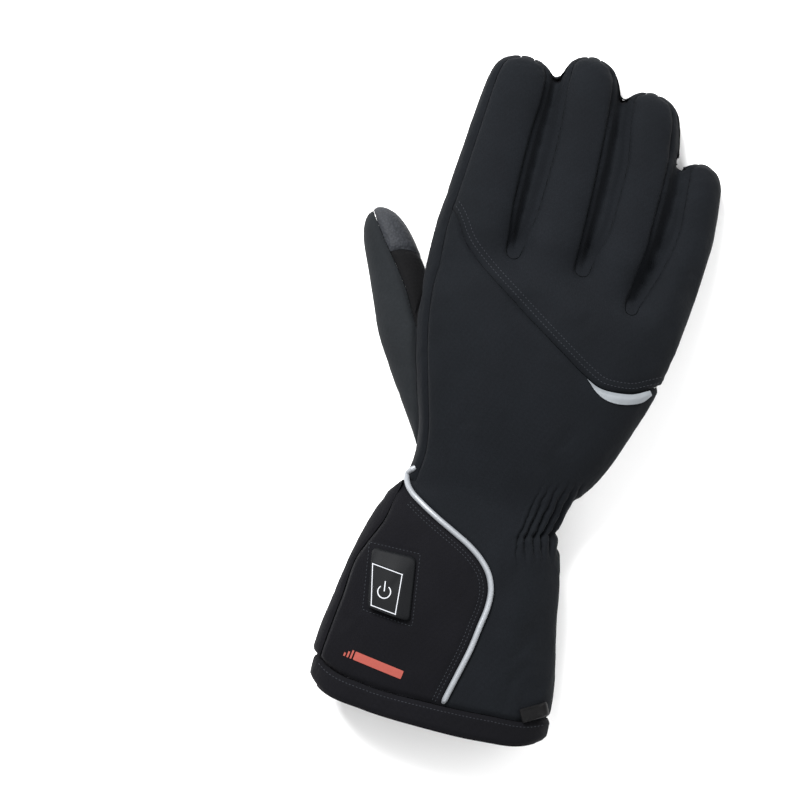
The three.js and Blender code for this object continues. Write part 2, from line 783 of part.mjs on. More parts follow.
// The flap: a thick turn round the cuff's edge, then a tab fastened flat on the underside
const flapSkin = onTable(handSolid(flapOffset));
const flapTurn = flapSkin.subtract(handHollow).intersect(flapEdgeZone(0)).subtract(hemZone(gap));
const flapLow = bodyAt(cuffLength / 2);
const tabLeft = flapLow.x - flapLow.half;
const tabFoot = hemDepth + flapAboveHem;
const tabTop = tabFoot + flapWidth;
const tab = column([
  [tabLeft - wall, tabFoot],
  [tabLeft + flapReach, tabFoot],
  [tabLeft + flapReach, tabTop - flapCorner - 2],
  [tabLeft + flapReach - flapCorner, tabTop - 2],
  [tabLeft - wall, tabTop],
], 0, (flapLow.low + flapLow.high) / 2);
const tabSkin = flapSkin.subtract(handSolid(gap)).intersect(tab);
solids.closure_flap = union([flapTurn, tabSkin]);
rest = rest.subtract(flapEdgeZone(gap));

const palmSide = rest.intersect(palmZone(0));
rest = rest.subtract(palmZone(gap));
const palmSeamY = cuffLength - palmSeamBelowWrist;
const cuffSide = (grow) => column([[-far, -far], [far, -far], [far, palmSeamY + grow], [-far, palmSeamY + grow]]);
solids.cuff_palm_panel = palmSide.intersect(cuffSide(0));
solids.touch_patch_index = palmSide.intersect(patchZone(0));
solids.palm_panel = palmSide.subtract(cuffSide(gap)).subtract(patchZone(gap));

// The pocket panel swells over the battery and folds over the flap's turn
const pocketStations = bodyStations.map((station) => ({
  ...station,
  x: station.x - pocketPuff / 2,
  half: station.half + pocketPuff / 2,
  high: station.high + pocketRaise,
}));
const pocketSkin = handSolid(0, pocketStations);
const pocketCut = union([hemZone(gap), palmZone(gap), flapEdgeZone(gap), sideZone(gap), pipingBed]);
solids.pocket_panel = pocketSkin.intersect(pocketZone(-gap / 2)).subtract(handHollow).subtract(pocketCut);
rest = rest.subtract(pocketZone(gap / 2));
solids.finger_back_panel = rest.intersect(knuckleZone(0));
solids.hand_back_panel = rest.subtract(knuckleZone(gap));
solids.piping = pipingTube(pipingRadius).subtract(hemZone(gap));

// Thumb
const thumbShell = onTable(thumbSolid(0)).subtract(thumbHollow).subtract(handSolid(gap));
const thumbInside = thumbShell.subtract(thumbBackZone(gap));
solids.thumb_back = thumbShell.intersect(thumbBackZone(0));
solids.touch_patch_thumb = thumbInside.intersect(thumbPatchZone(0));
solids.thumb_front = thumbInside.subtract(thumbPatchZone(gap));

// Trim on the back
const crescentTop = knuckleSeam.filter(({ across }) => across > 0.18 && across < 0.42);
const crescent = [...crescentLow, ...crescentTop.reverse()].map(handPoint);
solids.reflective_crescent = overHand(crescent, gap, gap + crescentThick, 1);

function overPocket(outline, height) {
  const grown = (offset) => handSolid(offset, pocketStations);
  return grown(gap + height).subtract(grown(gap)).intersect(column(outline, cuffHeight / 2, far));
}

const buttonFoot = roundedRectangle(buttonWidth, buttonLength, buttonCorner);
const buttonTop = roundedRectangle(buttonWidth - 2 * buttonStep, buttonLength - 2 * buttonStep, buttonCorner);
solids.power_button = union([
  overPocket(turned(buttonFoot, buttonTurn, buttonX, buttonY), buttonHeight - buttonStep),
  overPocket(turned(buttonTop, buttonTurn, buttonX, buttonY), buttonHeight),
]);

const badgeX = -0.405 * mouthWidth;
const badgeY = hemDepth + flapAboveHem - 0.6;
['low', 'mid', 'high'].forEach((name, number) => {
  const tall = badgeTallBar * mix(0.4, 1, number / 2);
  const bar = rectangle(badgeBarWidth, tall).map(([u, v]) => [u + number * badgeBarPitch, v + tall / 2]);
  solids[`heat_bar_${name}`] = overPocket(turned(bar, badgeTurn, badgeX, badgeY), badgeThick);
});
const label = rectangle(badgeLabelLength, badgeLabelWidth).map(([u, v]) => [
  u + 3 * badgeBarPitch + badgeLabelLength / 2,
  v + badgeLabelWidth / 2,
]);
solids.heat_label_bar = overPocket(turned(label, badgeTurn, badgeX, badgeY), badgeThick);

const tagOutline = turned(rectangle(tagLength, tagWidth), tagTurn, 0.395 * mouthWidth, hemDepth);
solids.label_tag = overHand(tagOutline, gap + hemRaise, gap + hemRaise + tagThick, 1);

// Grip lines on the palm
const palmSkin = handSolid(gap + gripThick).subtract(handSolid(gap));
const palmMiddle = (palmHeight * (palmRows[3].low + palmRows[3].high)) / 2;
gripRows.forEach(({ from, corner, to }, number) => {
  const round = (a, b, share) => a.map((value, axis) => mix(value, b[axis], share));
  const shares = [from, round(corner, from, 0.12), round(corner, to, 0.12), to];
  const line = shares.map(([across, along]) => handPoint({ across, along }));
  const name = `grip_line_${String(number + 1).padStart(2, '0')}`;
  solids[name] = palmSkin.intersect(column(stroke(line, gripWidth), -far, palmMiddle));
});

// The glove, with its origin under the middle of its outline

const finishOf = {
  finger_back_panel: 'softShell',
  hand_back_panel: 'softShell',
  index_side_strip: 'softShell',
  fourchette_index_middle: 'softShell',
  fourchette_middle_ring: 'softShell',
  fourchette_ring_little: 'softShell',
  thumb_back: 'thumbShell',
  thumb_front: 'palmCloth',
  palm_panel: 'palmCloth',
  touch_patch_index: 'touchGrain',
  touch_patch_thumb: 'touchGrain',
  cuff_palm_panel: 'cuffShell',
  pocket_panel: 'cuffShell',
  closure_flap: 'cuffShell',
  hem_band: 'hemCloth',
  piping: 'pipingGrey',
  reflective_crescent: 'reflective',
  power_button: 'buttonRubber',
  label_tag: 'tagRubber',
};

function finishFor(name) {
  if (name.startsWith('grip_line')) {
    return 'gripSilicone';
  }
  if (name.startsWith('heat_')) {
    return 'badgeRed';
  }
  return finishOf[name];
}

const glove = new THREE.Group();
for (const [name, solid] of Object.entries(solids)) {
  const [color, roughness, metalness] = finishes[finishFor(name)];
  const material = new THREE.MeshStandardMaterial({ color, roughness, metalness });
  const mesh = new THREE.Mesh(toGeometry(solid), material);
  mesh.name = name;
  glove.add(mesh);
}
const box = new THREE.Box3().setFromObject(glove);
const middle = box.getCenter(new THREE.Vector3());
glove.position.set(-middle.x, -middle.y, -box.min.z);

export default glove;
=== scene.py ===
"""Right-hand heated glove of padded soft-shell cloth, dressed over its CAD frame.

Lengths are metres. The glove is drawn in its pattern frame, with X across the hand, Y from the hem to the
fingertips and Z up from the table, and each finished piece is moved to the frame's own place.
"""

import json
import math

import bmesh
import bpy
import numpy as np
from bpy.props import FloatProperty, FloatVectorProperty, IntProperty, PointerProperty
from mathutils import Matrix, Vector, noise
from mathutils.bvhtree import BVHTree
from mathutils.kdtree import KDTree

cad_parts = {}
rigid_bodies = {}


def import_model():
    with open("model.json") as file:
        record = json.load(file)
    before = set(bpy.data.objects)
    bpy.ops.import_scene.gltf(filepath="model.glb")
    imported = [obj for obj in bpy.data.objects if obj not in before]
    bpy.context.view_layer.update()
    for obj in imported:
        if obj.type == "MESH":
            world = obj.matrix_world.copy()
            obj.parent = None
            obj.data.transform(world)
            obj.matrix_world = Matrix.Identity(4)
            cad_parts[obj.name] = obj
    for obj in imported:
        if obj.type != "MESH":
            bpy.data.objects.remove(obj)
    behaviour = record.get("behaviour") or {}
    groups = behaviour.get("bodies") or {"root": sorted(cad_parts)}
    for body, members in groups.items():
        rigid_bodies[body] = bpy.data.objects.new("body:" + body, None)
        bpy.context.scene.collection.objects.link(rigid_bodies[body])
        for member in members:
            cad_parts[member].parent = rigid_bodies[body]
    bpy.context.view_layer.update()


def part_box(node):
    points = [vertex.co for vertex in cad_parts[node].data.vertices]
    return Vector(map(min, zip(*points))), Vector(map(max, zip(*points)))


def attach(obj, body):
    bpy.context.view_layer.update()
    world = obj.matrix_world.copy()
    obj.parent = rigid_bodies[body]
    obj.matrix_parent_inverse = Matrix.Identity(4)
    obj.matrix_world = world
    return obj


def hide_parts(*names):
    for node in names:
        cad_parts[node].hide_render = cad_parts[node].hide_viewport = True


bl_info = {
    "name": "Heated Glove",
    "version": (1, 0, 0),
    "blender": (4, 5, 0),
    "location": "View3D > Sidebar > Glove",
    "description": "Builds a padded heated glove with its seams, pocket, button and trim",
    "category": "Add Mesh",
}

MM = 0.001

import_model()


# Sizes and colours that a user would change


def length(name, description, millimetres):
    return FloatProperty(
        name=name, description=description, default=millimetres * MM, unit="LENGTH", precision=5
    )


def degrees(name, description, value):
    return FloatProperty(name=name, description=description, default=math.radians(value), subtype="ANGLE")


def linear(code):
    """A colour's linear red, green and blue, from its sRGB hex code."""
    parts = [int(code[start : start + 2], 16) / 255 for start in (1, 3, 5)]
    return [part / 12.92 if part <= 0.04045 else ((part + 0.055) / 1.055) ** 2.4 for part in parts]


def colour(name, description, code):
    return FloatVectorProperty(
        name=name, description=description, default=linear(code), subtype="COLOR", size=3, min=0, max=1
    )


class GloveSizes(bpy.types.PropertyGroup):
    cuff_length: length("Cuff length", "Hem line to the narrowest part of the wrist", 97)
    palm_length: length("Palm length", "Wrist to the roots of the two middle fingers", 107)
    hem_depth: length("Hem depth", "Depth of the band round the mouth", 12)
    mouth_width: length("Mouth width", "Width of the cuff at its mouth", 109)
    cuff_height: length("Cuff height", "Height of the cuff as it lies", 44)
    wrist_width: length("Wrist width", "Width at the wrist's elastic", 76)
    wrist_height: length("Wrist height", "Height at the wrist's elastic", 34)
    palm_height: length("Palm height", "Height of the hand's padding", 38)
    hand_shift: length("Hand shift", "How far the knuckles sit to the little finger side", 6.6)
    finger_fan: length("Finger fan", "Further shift of the fingers half way up", 2.45)
    tip_fan: length("Tip fan", "Further shift of the fingers at their tips", 0.15)
    finger_height: length("Finger height", "Height of a padded finger", 25)
    thumb_length: length("Thumb length", "Inside the hand to the thumb's tip", 126)
    thumb_width: length("Thumb width", "Width of the padded thumb", 29)
    thumb_height: length("Thumb height", "Height of the padded thumb", 29)
    thumb_splay: degrees("Thumb splay", "Angle between the thumb and the fingers", 28.6)
    wall: length("Wall", "Outer cloth, padding and lining together", 3)
    gap: length("Gap", "Clearance between neighbouring pieces", 0.3)


class GloveDetails(bpy.types.PropertyGroup):
    seam_depth: length("Seam depth", "How far a seam is drawn into the padding", 1.4)
    seam_width: length("Seam width", "How far a seam's valley reaches to each side", 1.4)
    stitch_length: length("Stitch length", "Length of one topstitch", 1.0)
    stitch_pitch: length("Stitch pitch", "From one topstitch to the next", 1.6)
    thread: length("Thread", "Thickness of the sewing thread", 0.36)
    piping_radius: length("Piping radius", "Half the thickness of the reflective piping", 1.3)
    gathers: IntProperty(
        name="Gathers", description="Folds that the wrist's elastic draws in", default=6, min=0, max=12
    )
    gather_depth: length("Gather depth", "Depth of those folds", 2.3)


class GloveFinishes(bpy.types.PropertyGroup):
    shell: colour("Soft shell", "Back of the hand and fingers", "#0B0D10")
    thumb: colour("Thumb", "Back of the thumb", "#16181A")
    cuff: colour("Cuff", "Pocket, flap and cuff", "#08080B")
    palm: colour("Palm", "Palm and inner faces of the fingers", "#0C0C0D")
    hem: colour("Hem", "Band round the mouth", "#08080B")
    grain: colour("Touch patch", "Grained patches for touch screens", "#1E2024")
    piping: colour("Piping", "Reflective piping", "#707377")
    tape: colour("Tape", "Reflective crescent", "#676B6F")
    button: colour("Button", "Silicone button", "#0A0B0D")
    print_: colour("Print", "Lines printed on the button", "#A0A2A6")
    badge: colour("Badge", "Heat badge", "#793B34")
    thread: colour("Thread", "Topstitches", "#24262A")


def sizes():
    return bpy.context.scene.glove_sizes


def details():
    return bpy.context.scene.glove_details


def finishes():
    return bpy.context.scene.glove_finishes


# Tables of the form. Their values are shares of the sizes that each comment names


def rows(columns, *lines):
    """A table with named columns: one dictionary for each line."""
    names = columns.split()
    return [dict(zip(names, line)) for line in lines]


# Width at the root, half way up and at the tip, length from the root, and how far back the root sits,
# in millimetres
FINGERS = rows(
    "name root middle tip length set_back",
    ("index", 37.3, 34, 30.5, 85.8, 0),
    ("middle", 31.1, 32.5, 29.6, 92.8, 0),
    ("ring", 26.2, 29.6, 27.4, 84, 0),
    ("little", 25.2, 21, 19, 69.9, 11),
)
FINGER_MIDDLE = 46 * MM  # where the middle width is measured, from the root line
FINGER_END = 80 * MM  # and the tip width
BUTTON_SPOT = (-31.4 * MM, 49.6 * MM)  # the middle of the CAD's button in the pattern

# along in the cuff's length, left and right in the mouth's width, low and high in the cuff's height
CUFF = rows(
    "along left right low high",
    (-0.12, -0.502, 0.466, 0.036, 1.02),
    (0.1, -0.511, 0.467, 0.038, 1.03),
    (0.21, -0.511, 0.461, 0.038, 1.035),
    (0.41, -0.483, 0.426, 0.038, 1.03),
    (0.57, -0.469, 0.396, 0.038, 1.01),
    (0.7, -0.449, 0.385, 0.042, 0.98),
    (0.83, -0.421, 0.36, 0.07, 0.94),
    (0.925, -0.39, 0.322, 0.1, 0.91),
)
# along in the palm's length past the wrist, widths and heights in the wrist's
WRIST = rows(
    "along left right low high",
    (0, -0.515, 0.478, 0.165, 1.165),
    (0.065, -0.504, 0.503, 0.195, 1.2),
)
# along in the palm's length past the wrist, widths in the knuckles' width, heights in the palm's
PALM = rows(
    "along left right low high",
    (0.168, -0.376, 0.326, 0.205, 1.13),
    (0.28, -0.397, 0.371, 0.226, 1.2),
    (0.42, -0.433, 0.412, 0.242, 1.25),
    (0.54, -0.462, 0.448, 0.253, 1.276),
    (0.68, -0.487, 0.475, 0.258, 1.276),
    (0.81, -0.497, 0.49, 0.263, 1.237),
    (0.87, -0.493, 0.4, 0.276, 1.197),
    (0.91, -0.478, 0.27, 0.316, 1.13),
    (0.955, -0.44, 0.2, 0.4, 1.01),
    (1, -0.37, 0.11, 0.52, 0.84),
)
# along in the finger's length, width in its own, heights in the finger's height, seam and edge in the
# seam's inset: edge is for the outer sides of the index and little fingers
FINGER = rows(
    "along width low high seam edge",
    (-0.28, 0.88, 0.5, 1.68, 0.45, 1),
    (0, 1, 0.38, 1.6, 0.45, 1),
    (0.27, 1, 0.29, 1.36, 0.9, 0.9),
    (0.56, 1, 0.13, 1.13, 1, 0.8),
    (0.86, 0.985, -0.02, 0.93, 0.7, 0.65),
    (0.945, 0.84, 0, 0.82, 0.45, 0.45),
    (0.983, 0.58, 0.1, 0.68, 0.25, 0.25),
    (1, 0.26, 0.24, 0.54, 0.1, 0.1),
)
# along in the thumb's length, aside and half in its width, heights in its height
THUMB = rows(
    "along aside half low high",
    (0, 0.1, 0.46, 0.27, 1.1),
    (0.19, 0.16, 0.5, 0.12, 1.12),
    (0.33, 0.1, 0.52, 0.03, 1.08),
    (0.56, 0, 0.5, 0, 0.98),
    (0.775, 0.015, 0.425, -0.01, 0.87),
    (0.88, -0.015, 0.375, -0.01, 0.8),
    (0.945, -0.03, 0.29, 0.08, 0.7),
    (0.99, -0.04, 0.12, 0.24, 0.53),
)
THUMB_SEAM = rows(
    "along aside", (-0.1, 0.62), (0.2, 0.36), (0.45, 0.12), (0.72, 0.06), (0.9, -0.08), (1.1, -0.16)
)
# across in half the mouth, seam and edge in the hem's depth
HEM = rows(
    "across seam edge",
    (-1.3, 1.6, 0.9),
    (-1, 1.16, 0.24),
    (-0.85, 0.72, -0.2),
    (-0.5, 0.43, -0.45),
    (0, 0.39, -0.54),
    (0.5, 0.47, -0.5),
    (0.85, 0.6, -0.3),
    (1, 0.85, 0.02),
    (1.3, 1.2, 0.9),
)
# across in the knuckles' width, along in the palm's length past the wrist
KNUCKLE_SEAM = rows(
    "across along",
    (-0.62, 1.17),
    (-0.453, 1.117),
    (-0.361, 0.987),
    (-0.272, 0.907),
    (-0.139, 0.807),
    (0.084, 0.648),
    (0.182, 0.583),
    (0.235, 0.557),
    (0.306, 0.555),
    (0.369, 0.568),
    (0.413, 0.593),
    (0.62, 0.72),
)
CRESCENT_LOW = rows(
    "across along",
    (0.182, 0.58),
    (0.226, 0.534),
    (0.262, 0.514),
    (0.306, 0.508),
    (0.36, 0.519),
    (0.405, 0.543),
    (0.43, 0.578),
)
# along in the cuff's length, across in the mouth's width
FOLD = rows(
    "along across",
    (1.02, -0.34),
    (0.9, -0.367),
    (0.81, -0.383),
    (0.68, -0.431),
    (0.62, -0.453),
    (0.41, -0.475),
    (0.16, -0.498),
    (-0.2, -0.51),
)
PIPING = rows(
    "along across",
    (1.058, -0.312),
    (1.026, -0.336),
    (0.988, -0.332),
    (0.948, -0.305),
    (0.914, -0.26),
    (0.866, -0.183),
    (0.82, -0.099),
    (0.776, -0.023),
    (0.734, 0.03),
    (0.678, 0.076),
    (0.613, 0.101),
    (0.536, 0.106),
    (0.443, 0.095),
    (0.33, 0.081),
    (0.227, 0.061),
    (0.134, 0.042),
    (0.02, 0.02),
)
# Start, corner and end of each printed grip line, across in the knuckles' width, along in the palm's length
GRIP = rows(
    "x1 y1 x2 y2 x3 y3",
    (-0.37, 0.928, -0.303, 0.926, -0.27, 0.96),
    (-0.382, 0.884, -0.27, 0.9, -0.228, 0.932),
    (-0.374, 0.844, -0.236, 0.867, -0.178, 0.928),
    (-0.361, 0.802, -0.178, 0.839, -0.124, 0.909),
    (-0.353, 0.755, -0.136, 0.793, -0.053, 0.923),
    (-0.328, 0.722, -0.078, 0.755, 0.018, 0.956),
    (-0.287, 0.69, -0.036, 0.718, 0.051, 0.9),
    (-0.253, 0.648, -0.003, 0.671, 0.11, 0.881),
    (-0.195, 0.61, 0.047, 0.634, 0.172, 0.9),
    (-0.12, 0.573, 0.089, 0.577, 0.239, 0.905),
    (-0.103, 0.531, 0.139, 0.531, 0.285, 0.872),
    (-0.061, 0.493, 0.139, 0.471, 0.205, 0.53),
)

# Fixed lengths of the cloth and its sewing
GATHER_PITCH = 3.5 * MM  # from one fold at the wrist's elastic to the next
LOWER_SEAM = 2.2 * MM  # the fingers' side seams lie this far under their middle height
CHANNEL = 3.4 * MM  # depth of the strips between the fingers
BODY_POWER = 2.5  # how square a section is: 2 is a true oval
FINGER_POWER = 2.35
SEAM_INSET = 4.6 * MM  # a finger's top seams lie this far inside its edge
SIDE_INSET = 5.4 * MM  # and the hand's seam on the thumb side
FINGER_GAP = 0.8 * MM
PALM_WRAP = 4 * MM  # the back reaches this far round to the palm at the little finger side
PATCH_LENGTH = 47 * MM  # of the index finger's touch patch
PALM_SEAM = 9 * MM  # the palm meets the cuff this far below the wrist
FLAP_FOOT = 4 * MM  # the flap's tab starts this far past the hem
FLAP_REACH = 55 * MM  # how far the tab goes under the cuff
FLAP_LENGTH = 70 * MM
FLAP_CORNER = 7 * MM
FLAP_CLOTH = 2 * MM
HEM_LIFT = 0.8 * MM  # the hem stands off the cuff by this much
HAND_SWELL = 1.7 * MM  # how far the padding may be blown up
THUMB_SWELL = 1.6 * MM
ROOT_CREASE = (-34 * MM, 6 * MM)  # the stretch round the knuckles that is smoothed first
CREASE_HEIGHT = 22 * MM
WRIST_FOLDS = 30 * MM  # the gathers are refined this far to both sides of the wrist
LINING_VOXEL = 1.6 * MM
FRAME_LINE = 0.36 * MM  # widths of the print on the switch
SYMBOL_LINE = 0.45 * MM
SYMBOL_RADIUS = 2.8 * MM
SYMBOL_TURN = math.radians(8)
SYMBOL_GAP = math.radians(38)  # the circle is open this far to both sides of the stem
GRIP_LINE = 1.1 * MM
UPPER_SIDE = 20 * MM  # what is higher than this belongs to the glove's upper side
FAR = 0.4  # past the glove on every side
LEAD = 16 * MM  # the forms run on this far past the mouth, where the hem cuts them off
PUCKER_REACH = 4 * MM  # the small puckers beside a seam are strongest this far from it
SKIN, LINING, CUT = 1, 2, 3  # which surface a face of a panel came from


# Curves through the tables


def hermite(values, slopes, span, step, share):
    """The smooth curve from each span's value to the next one, a share of the way along it."""
    square, cube = share**2, share**3
    return (
        (2 * cube - 3 * square + 1) * values[span]
        + (cube - 2 * square + share) * step * slopes[span]
        + (3 * square - 2 * cube) * values[span + 1]
        + (cube - square) * step * slopes[span + 1]
    )


def through(values, at, wanted):
    """A smooth curve through the values, which doesn't swing past them."""
    values, at, wanted = np.array(values, float), np.array(at, float), np.array(wanted, float)
    rise = np.diff(values) / np.diff(at)
    slope = np.r_[rise[0], np.zeros(len(values) - 2), rise[-1]]
    same = rise[:-1] * rise[1:] > 0
    slope[1:-1][same] = 2 * (rise[:-1] * rise[1:])[same] / (rise[:-1] + rise[1:])[same]
    span = np.clip(np.searchsorted(at, wanted, side="right") - 1, 0, len(at) - 2)
    step = at[span + 1] - at[span]
    share = np.clip((wanted - at[span]) / step, -1, 2)
    return hermite(values, slope, span, step, share)


def run_along(points):
    """How far each point is from the first, along the line."""
    return np.r_[0, np.cumsum(np.linalg.norm(np.diff(points, axis=0), axis=1))]


def smooth_line(points, step=1.5 * MM):
    """The points of a line, rounded and evenly close together."""
    points = np.array(points, float)
    run = run_along(points)
    wanted = np.linspace(0, run[-1], max(int(run[-1] / step), 2) + 1)
    tangents = np.gradient(points, run, axis=0)
    span = np.clip(np.searchsorted(run, wanted, side="right") - 1, 0, len(run) - 2)
    width = (run[span + 1] - run[span])[:, None]
    share = ((wanted - run[span])[:, None]) / width
    return hermite(points, tangents, span, width, share)


def beside(line, distance):
    """The line, moved by a distance to its left."""
    line = np.array(line, float)
    along = np.gradient(line, axis=0)
    along /= np.maximum(np.linalg.norm(along, axis=1), 1e-9)[:, None]
    return line + distance * np.stack([-along[:, 1], along[:, 0]], axis=1)


def tree_of(points):
    tree = KDTree(len(points))
    for number, point in enumerate(points):
        tree.insert(point, number)
    tree.balance()
    return tree


def plan_distance(points, line):
    """How far each point is from a line, seen from above."""
    tree = tree_of([(x, y, 0) for x, y in line])
    return np.array([tree.find((x, y, 0))[2] for x, y in np.asarray(points)[:, :2]])


def root_y(number):
    """Y of a finger's root."""
    return knuckle_y() - FINGERS[number]["set_back"] * MM


def knuckle_y():
    return sizes().cuff_length + sizes().palm_length


def crotch_y(number):
    """Y of the crotch before a finger, where the lower of two roots is."""
    return min(root_y(number - 1), root_y(number))


def knuckle_width():
    return sum(finger["root"] for finger in FINGERS) * MM


def body_stations():
    """The sections of cuff, wrist and palm, from the mouth to the knuckles."""
    s = sizes()

    def station(y, middle, width, height, row):
        left, right = middle + row["left"] * width, middle + row["right"] * width
        low, high = row["low"] * height, row["high"] * height
        middle, half = (left + right) / 2, (right - left) / 2
        return dict(x=middle, y=y, half=half, low=low, high=high, power=BODY_POWER, turn=0)

    def past_wrist(row):
        return s.cuff_length + row["along"] * s.palm_length

    cuff = [station(row["along"] * s.cuff_length, 0, s.mouth_width, s.cuff_height, row) for row in CUFF]
    wrist = [station(past_wrist(row), 0, s.wrist_width, s.wrist_height, row) for row in WRIST]
    palm = [station(past_wrist(row), s.hand_shift, knuckle_width(), s.palm_height, row) for row in PALM]
    lead = {**cuff[0], "y": cuff[0]["y"] - LEAD}
    return [lead, *cuff, *wrist, *palm]


def line_across(number, width, shift):
    """Where the line before a finger lies, at the place where that width is measured."""
    before = sum(finger[width] for finger in FINGERS[:number])
    total = sum(finger[width] for finger in FINGERS)
    return sizes().hand_shift + shift + (before - total / 2) * MM


def finger_line(number, y):
    """X of the line between two fingers at height y, bowed past the root and straight below it."""
    root = line_across(number, "root", 0)
    middle = line_across(number, "middle", sizes().finger_fan)
    tip = line_across(number, "tip", sizes().tip_fan)
    reach = y - knuckle_y()
    slope = (middle - root) / FINGER_MIDDLE
    bow = ((tip - root) / FINGER_END - slope) / (FINGER_END - FINGER_MIDDLE)
    return root + reach * slope + np.maximum(reach, 0) * bow * (reach - FINGER_MIDDLE)


def finger_stations(number, shift=0):
    """The sections of a finger from its root to its tip, with its two top seams. The tip is shifted."""
    finger = FINGERS[number]
    left_key = "edge" if number == 0 else "seam"
    right_key = "edge" if number == len(FINGERS) - 1 else "seam"
    stations = []
    for row in FINGER:
        y = knuckle_y() - finger["set_back"] * MM + row["along"] * finger["length"] * MM
        left = finger_line(number, y) + FINGER_GAP / 2
        right = finger_line(number + 1, y) - FINGER_GAP / 2
        half = (right - left) / 2 * row["width"]
        middle = (left + right) / 2
        stations.append(
            dict(
                x=middle,
                y=y + max(row["along"], 0) * shift,
                half=half,
                low=row["low"] * sizes().finger_height,
                high=row["high"] * sizes().finger_height,
                power=FINGER_POWER,
                turn=0,
                left_seam=middle - half + row[left_key] * SEAM_INSET,
                right_seam=middle + half - row[right_key] * SEAM_INSET,
            )
        )
    return stations


def thumb_point(along, aside):
    """A point of the thumb, along in its length and aside in its width."""
    s = sizes()
    turn = s.thumb_splay
    forward, sideways = along * s.thumb_length, aside * s.thumb_width
    x = -18 * MM - forward * math.sin(turn) + sideways * math.cos(turn)
    y = s.cuff_length + 3 * MM + forward * math.cos(turn) + sideways * math.sin(turn)
    return x, y


def thumb_stations(shift=0):
    s = sizes()
    stations = []
    for row in THUMB:
        x, y = thumb_point(row["along"] * (1 + shift / s.thumb_length), row["aside"])
        low, high = row["low"] * s.thumb_height, row["high"] * s.thumb_height
        half = row["half"] * s.thumb_width
        stations.append(
            dict(x=x, y=y, half=half, low=low, high=high, power=FINGER_POWER, turn=s.thumb_splay)
        )
    return stations


def dense(stations, step=2.5 * MM):
    """The same stations, with smooth ones between them."""
    run = run_along(np.array([(station["x"], station["y"]) for station in stations]))
    wanted = np.linspace(0, run[-1], int(run[-1] / step) + 2)
    columns = {key: through([station[key] for station in stations], run, wanted) for key in stations[0]}
    return [dict(zip(columns, values)) for values in zip(*columns.values())]


def body_at(y):
    """The body's oval at each height y of an array."""
    stations = body_stations()
    at = [station["y"] for station in stations]
    return {key: through([station[key] for station in stations], at, y) for key in stations[0] if key != "y"}


def oval(station, offset, sides):
    """A section's ring of points, an offset further out."""
    turn = np.linspace(0, 2 * math.pi, sides, endpoint=False)
    wide = np.sign(np.cos(turn)) * np.abs(np.cos(turn)) ** (2 / station["power"]) * (station["half"] + offset)
    half_height = (station["high"] - station["low"]) / 2 + offset
    tall = np.sign(np.sin(turn)) * np.abs(np.sin(turn)) ** (2 / station["power"]) * half_height
    return np.stack(
        [
            station["x"] + wide * math.cos(station["turn"]),
            station["y"] + wide * math.sin(station["turn"]),
            (station["low"] + station["high"]) / 2 + tall,
        ],
        axis=1,
    )


# Meshes


def bench(name, mesh, keep=False):
    """An object on the workbench. Those that aren't kept go when the glove is done."""
    obj = bpy.data.objects.new(name, mesh)
    bpy.context.scene.collection.objects.link(obj)
    obj["on_bench"] = not keep
    return obj


def from_bmesh(name, bm, side=None):
    """An object with the mesh, its faces turned outwards."""
    bmesh.ops.recalc_face_normals(bm, faces=bm.faces[:])
    mesh = bpy.data.meshes.new(name)
    bm.to_mesh(mesh)
    bm.free()
    obj = bench(name, mesh)
    if side is not None:
        mark(obj, side)
    return obj


def mark(obj, side):
    """Writes on every face which surface it belongs to."""
    mesh = obj.data
    attribute = mesh.attributes.get("side") or mesh.attributes.new("side", "INT", "FACE")
    attribute.data.foreach_set("value", np.full(len(mesh.polygons), side, np.int32))


def baked(obj):
    """The object with its modifiers applied."""
    graph = bpy.context.evaluated_depsgraph_get()
    mesh = bpy.data.meshes.new_from_object(obj.evaluated_get(graph))
    obj.modifiers.clear()
    obj.data = mesh
    return obj


def read(mesh, what="co"):
    """The places of a mesh's vertices, or their normals, as an array."""
    owner = mesh.vertices if what == "co" else mesh.vertex_normals
    values = np.empty(len(mesh.vertices) * 3, np.float32)
    owner.foreach_get("co" if what == "co" else "vector", values)
    return values.reshape(-1, 3).astype(float)


def write(mesh, points):
    mesh.vertices.foreach_set("co", np.asarray(points, np.float32).ravel())
    mesh.update()


def loft(name, rings, side=None):
    """A closed skin through rings of points: a circle that is extruded from ring to ring."""
    bm = bmesh.new()
    spoke = bm.verts.layers.int.new("spoke")
    bmesh.ops.create_circle(bm, cap_ends=True, segments=len(rings[0]), radius=1)
    bm.verts.ensure_lookup_table()
    for number, vert in enumerate(bm.verts):
        vert[spoke] = number
        vert.co = rings[0][number]
    edges = bm.edges[:]
    for ring in rings[1:]:
        made = bmesh.ops.extrude_edge_only(bm, edges=edges)["geom"]
        fresh = {item for item in made if isinstance(item, bmesh.types.BMVert)}
        for vert in fresh:
            vert.co = ring[vert[spoke]]
        edges = [item for item in made if isinstance(item, bmesh.types.BMEdge)]
        edges = [edge for edge in edges if fresh.issuperset(edge.verts)]
    bmesh.ops.edgeloop_fill(bm, edges=edges)
    return from_bmesh(name, bm, side)


def column(outline, low=-FAR, high=FAR, name="column"):
    """An upright prism on an outline of x, y points."""
    bm = bmesh.new()
    face = bm.faces.new([bm.verts.new((x, y, low)) for x, y in outline])
    made = bmesh.ops.extrude_face_region(bm, geom=[face])["geom"]
    top = [item for item in made if isinstance(item, bmesh.types.BMVert)]
    bmesh.ops.translate(bm, vec=(0, 0, high - low), verts=top)
    return from_bmesh(name, bm, CUT)


def combined(body, operation, *tools):
    """A copy of the body that is cut by, kept inside or joined to each tool in turn."""
    result = bench(body.name, body.data.copy())
    for tool in tools:
        step = result.modifiers.new("step", "BOOLEAN")
        step.operation = operation
        step.solver = "MANIFOLD"
        step.object = tool
    return baked(result)


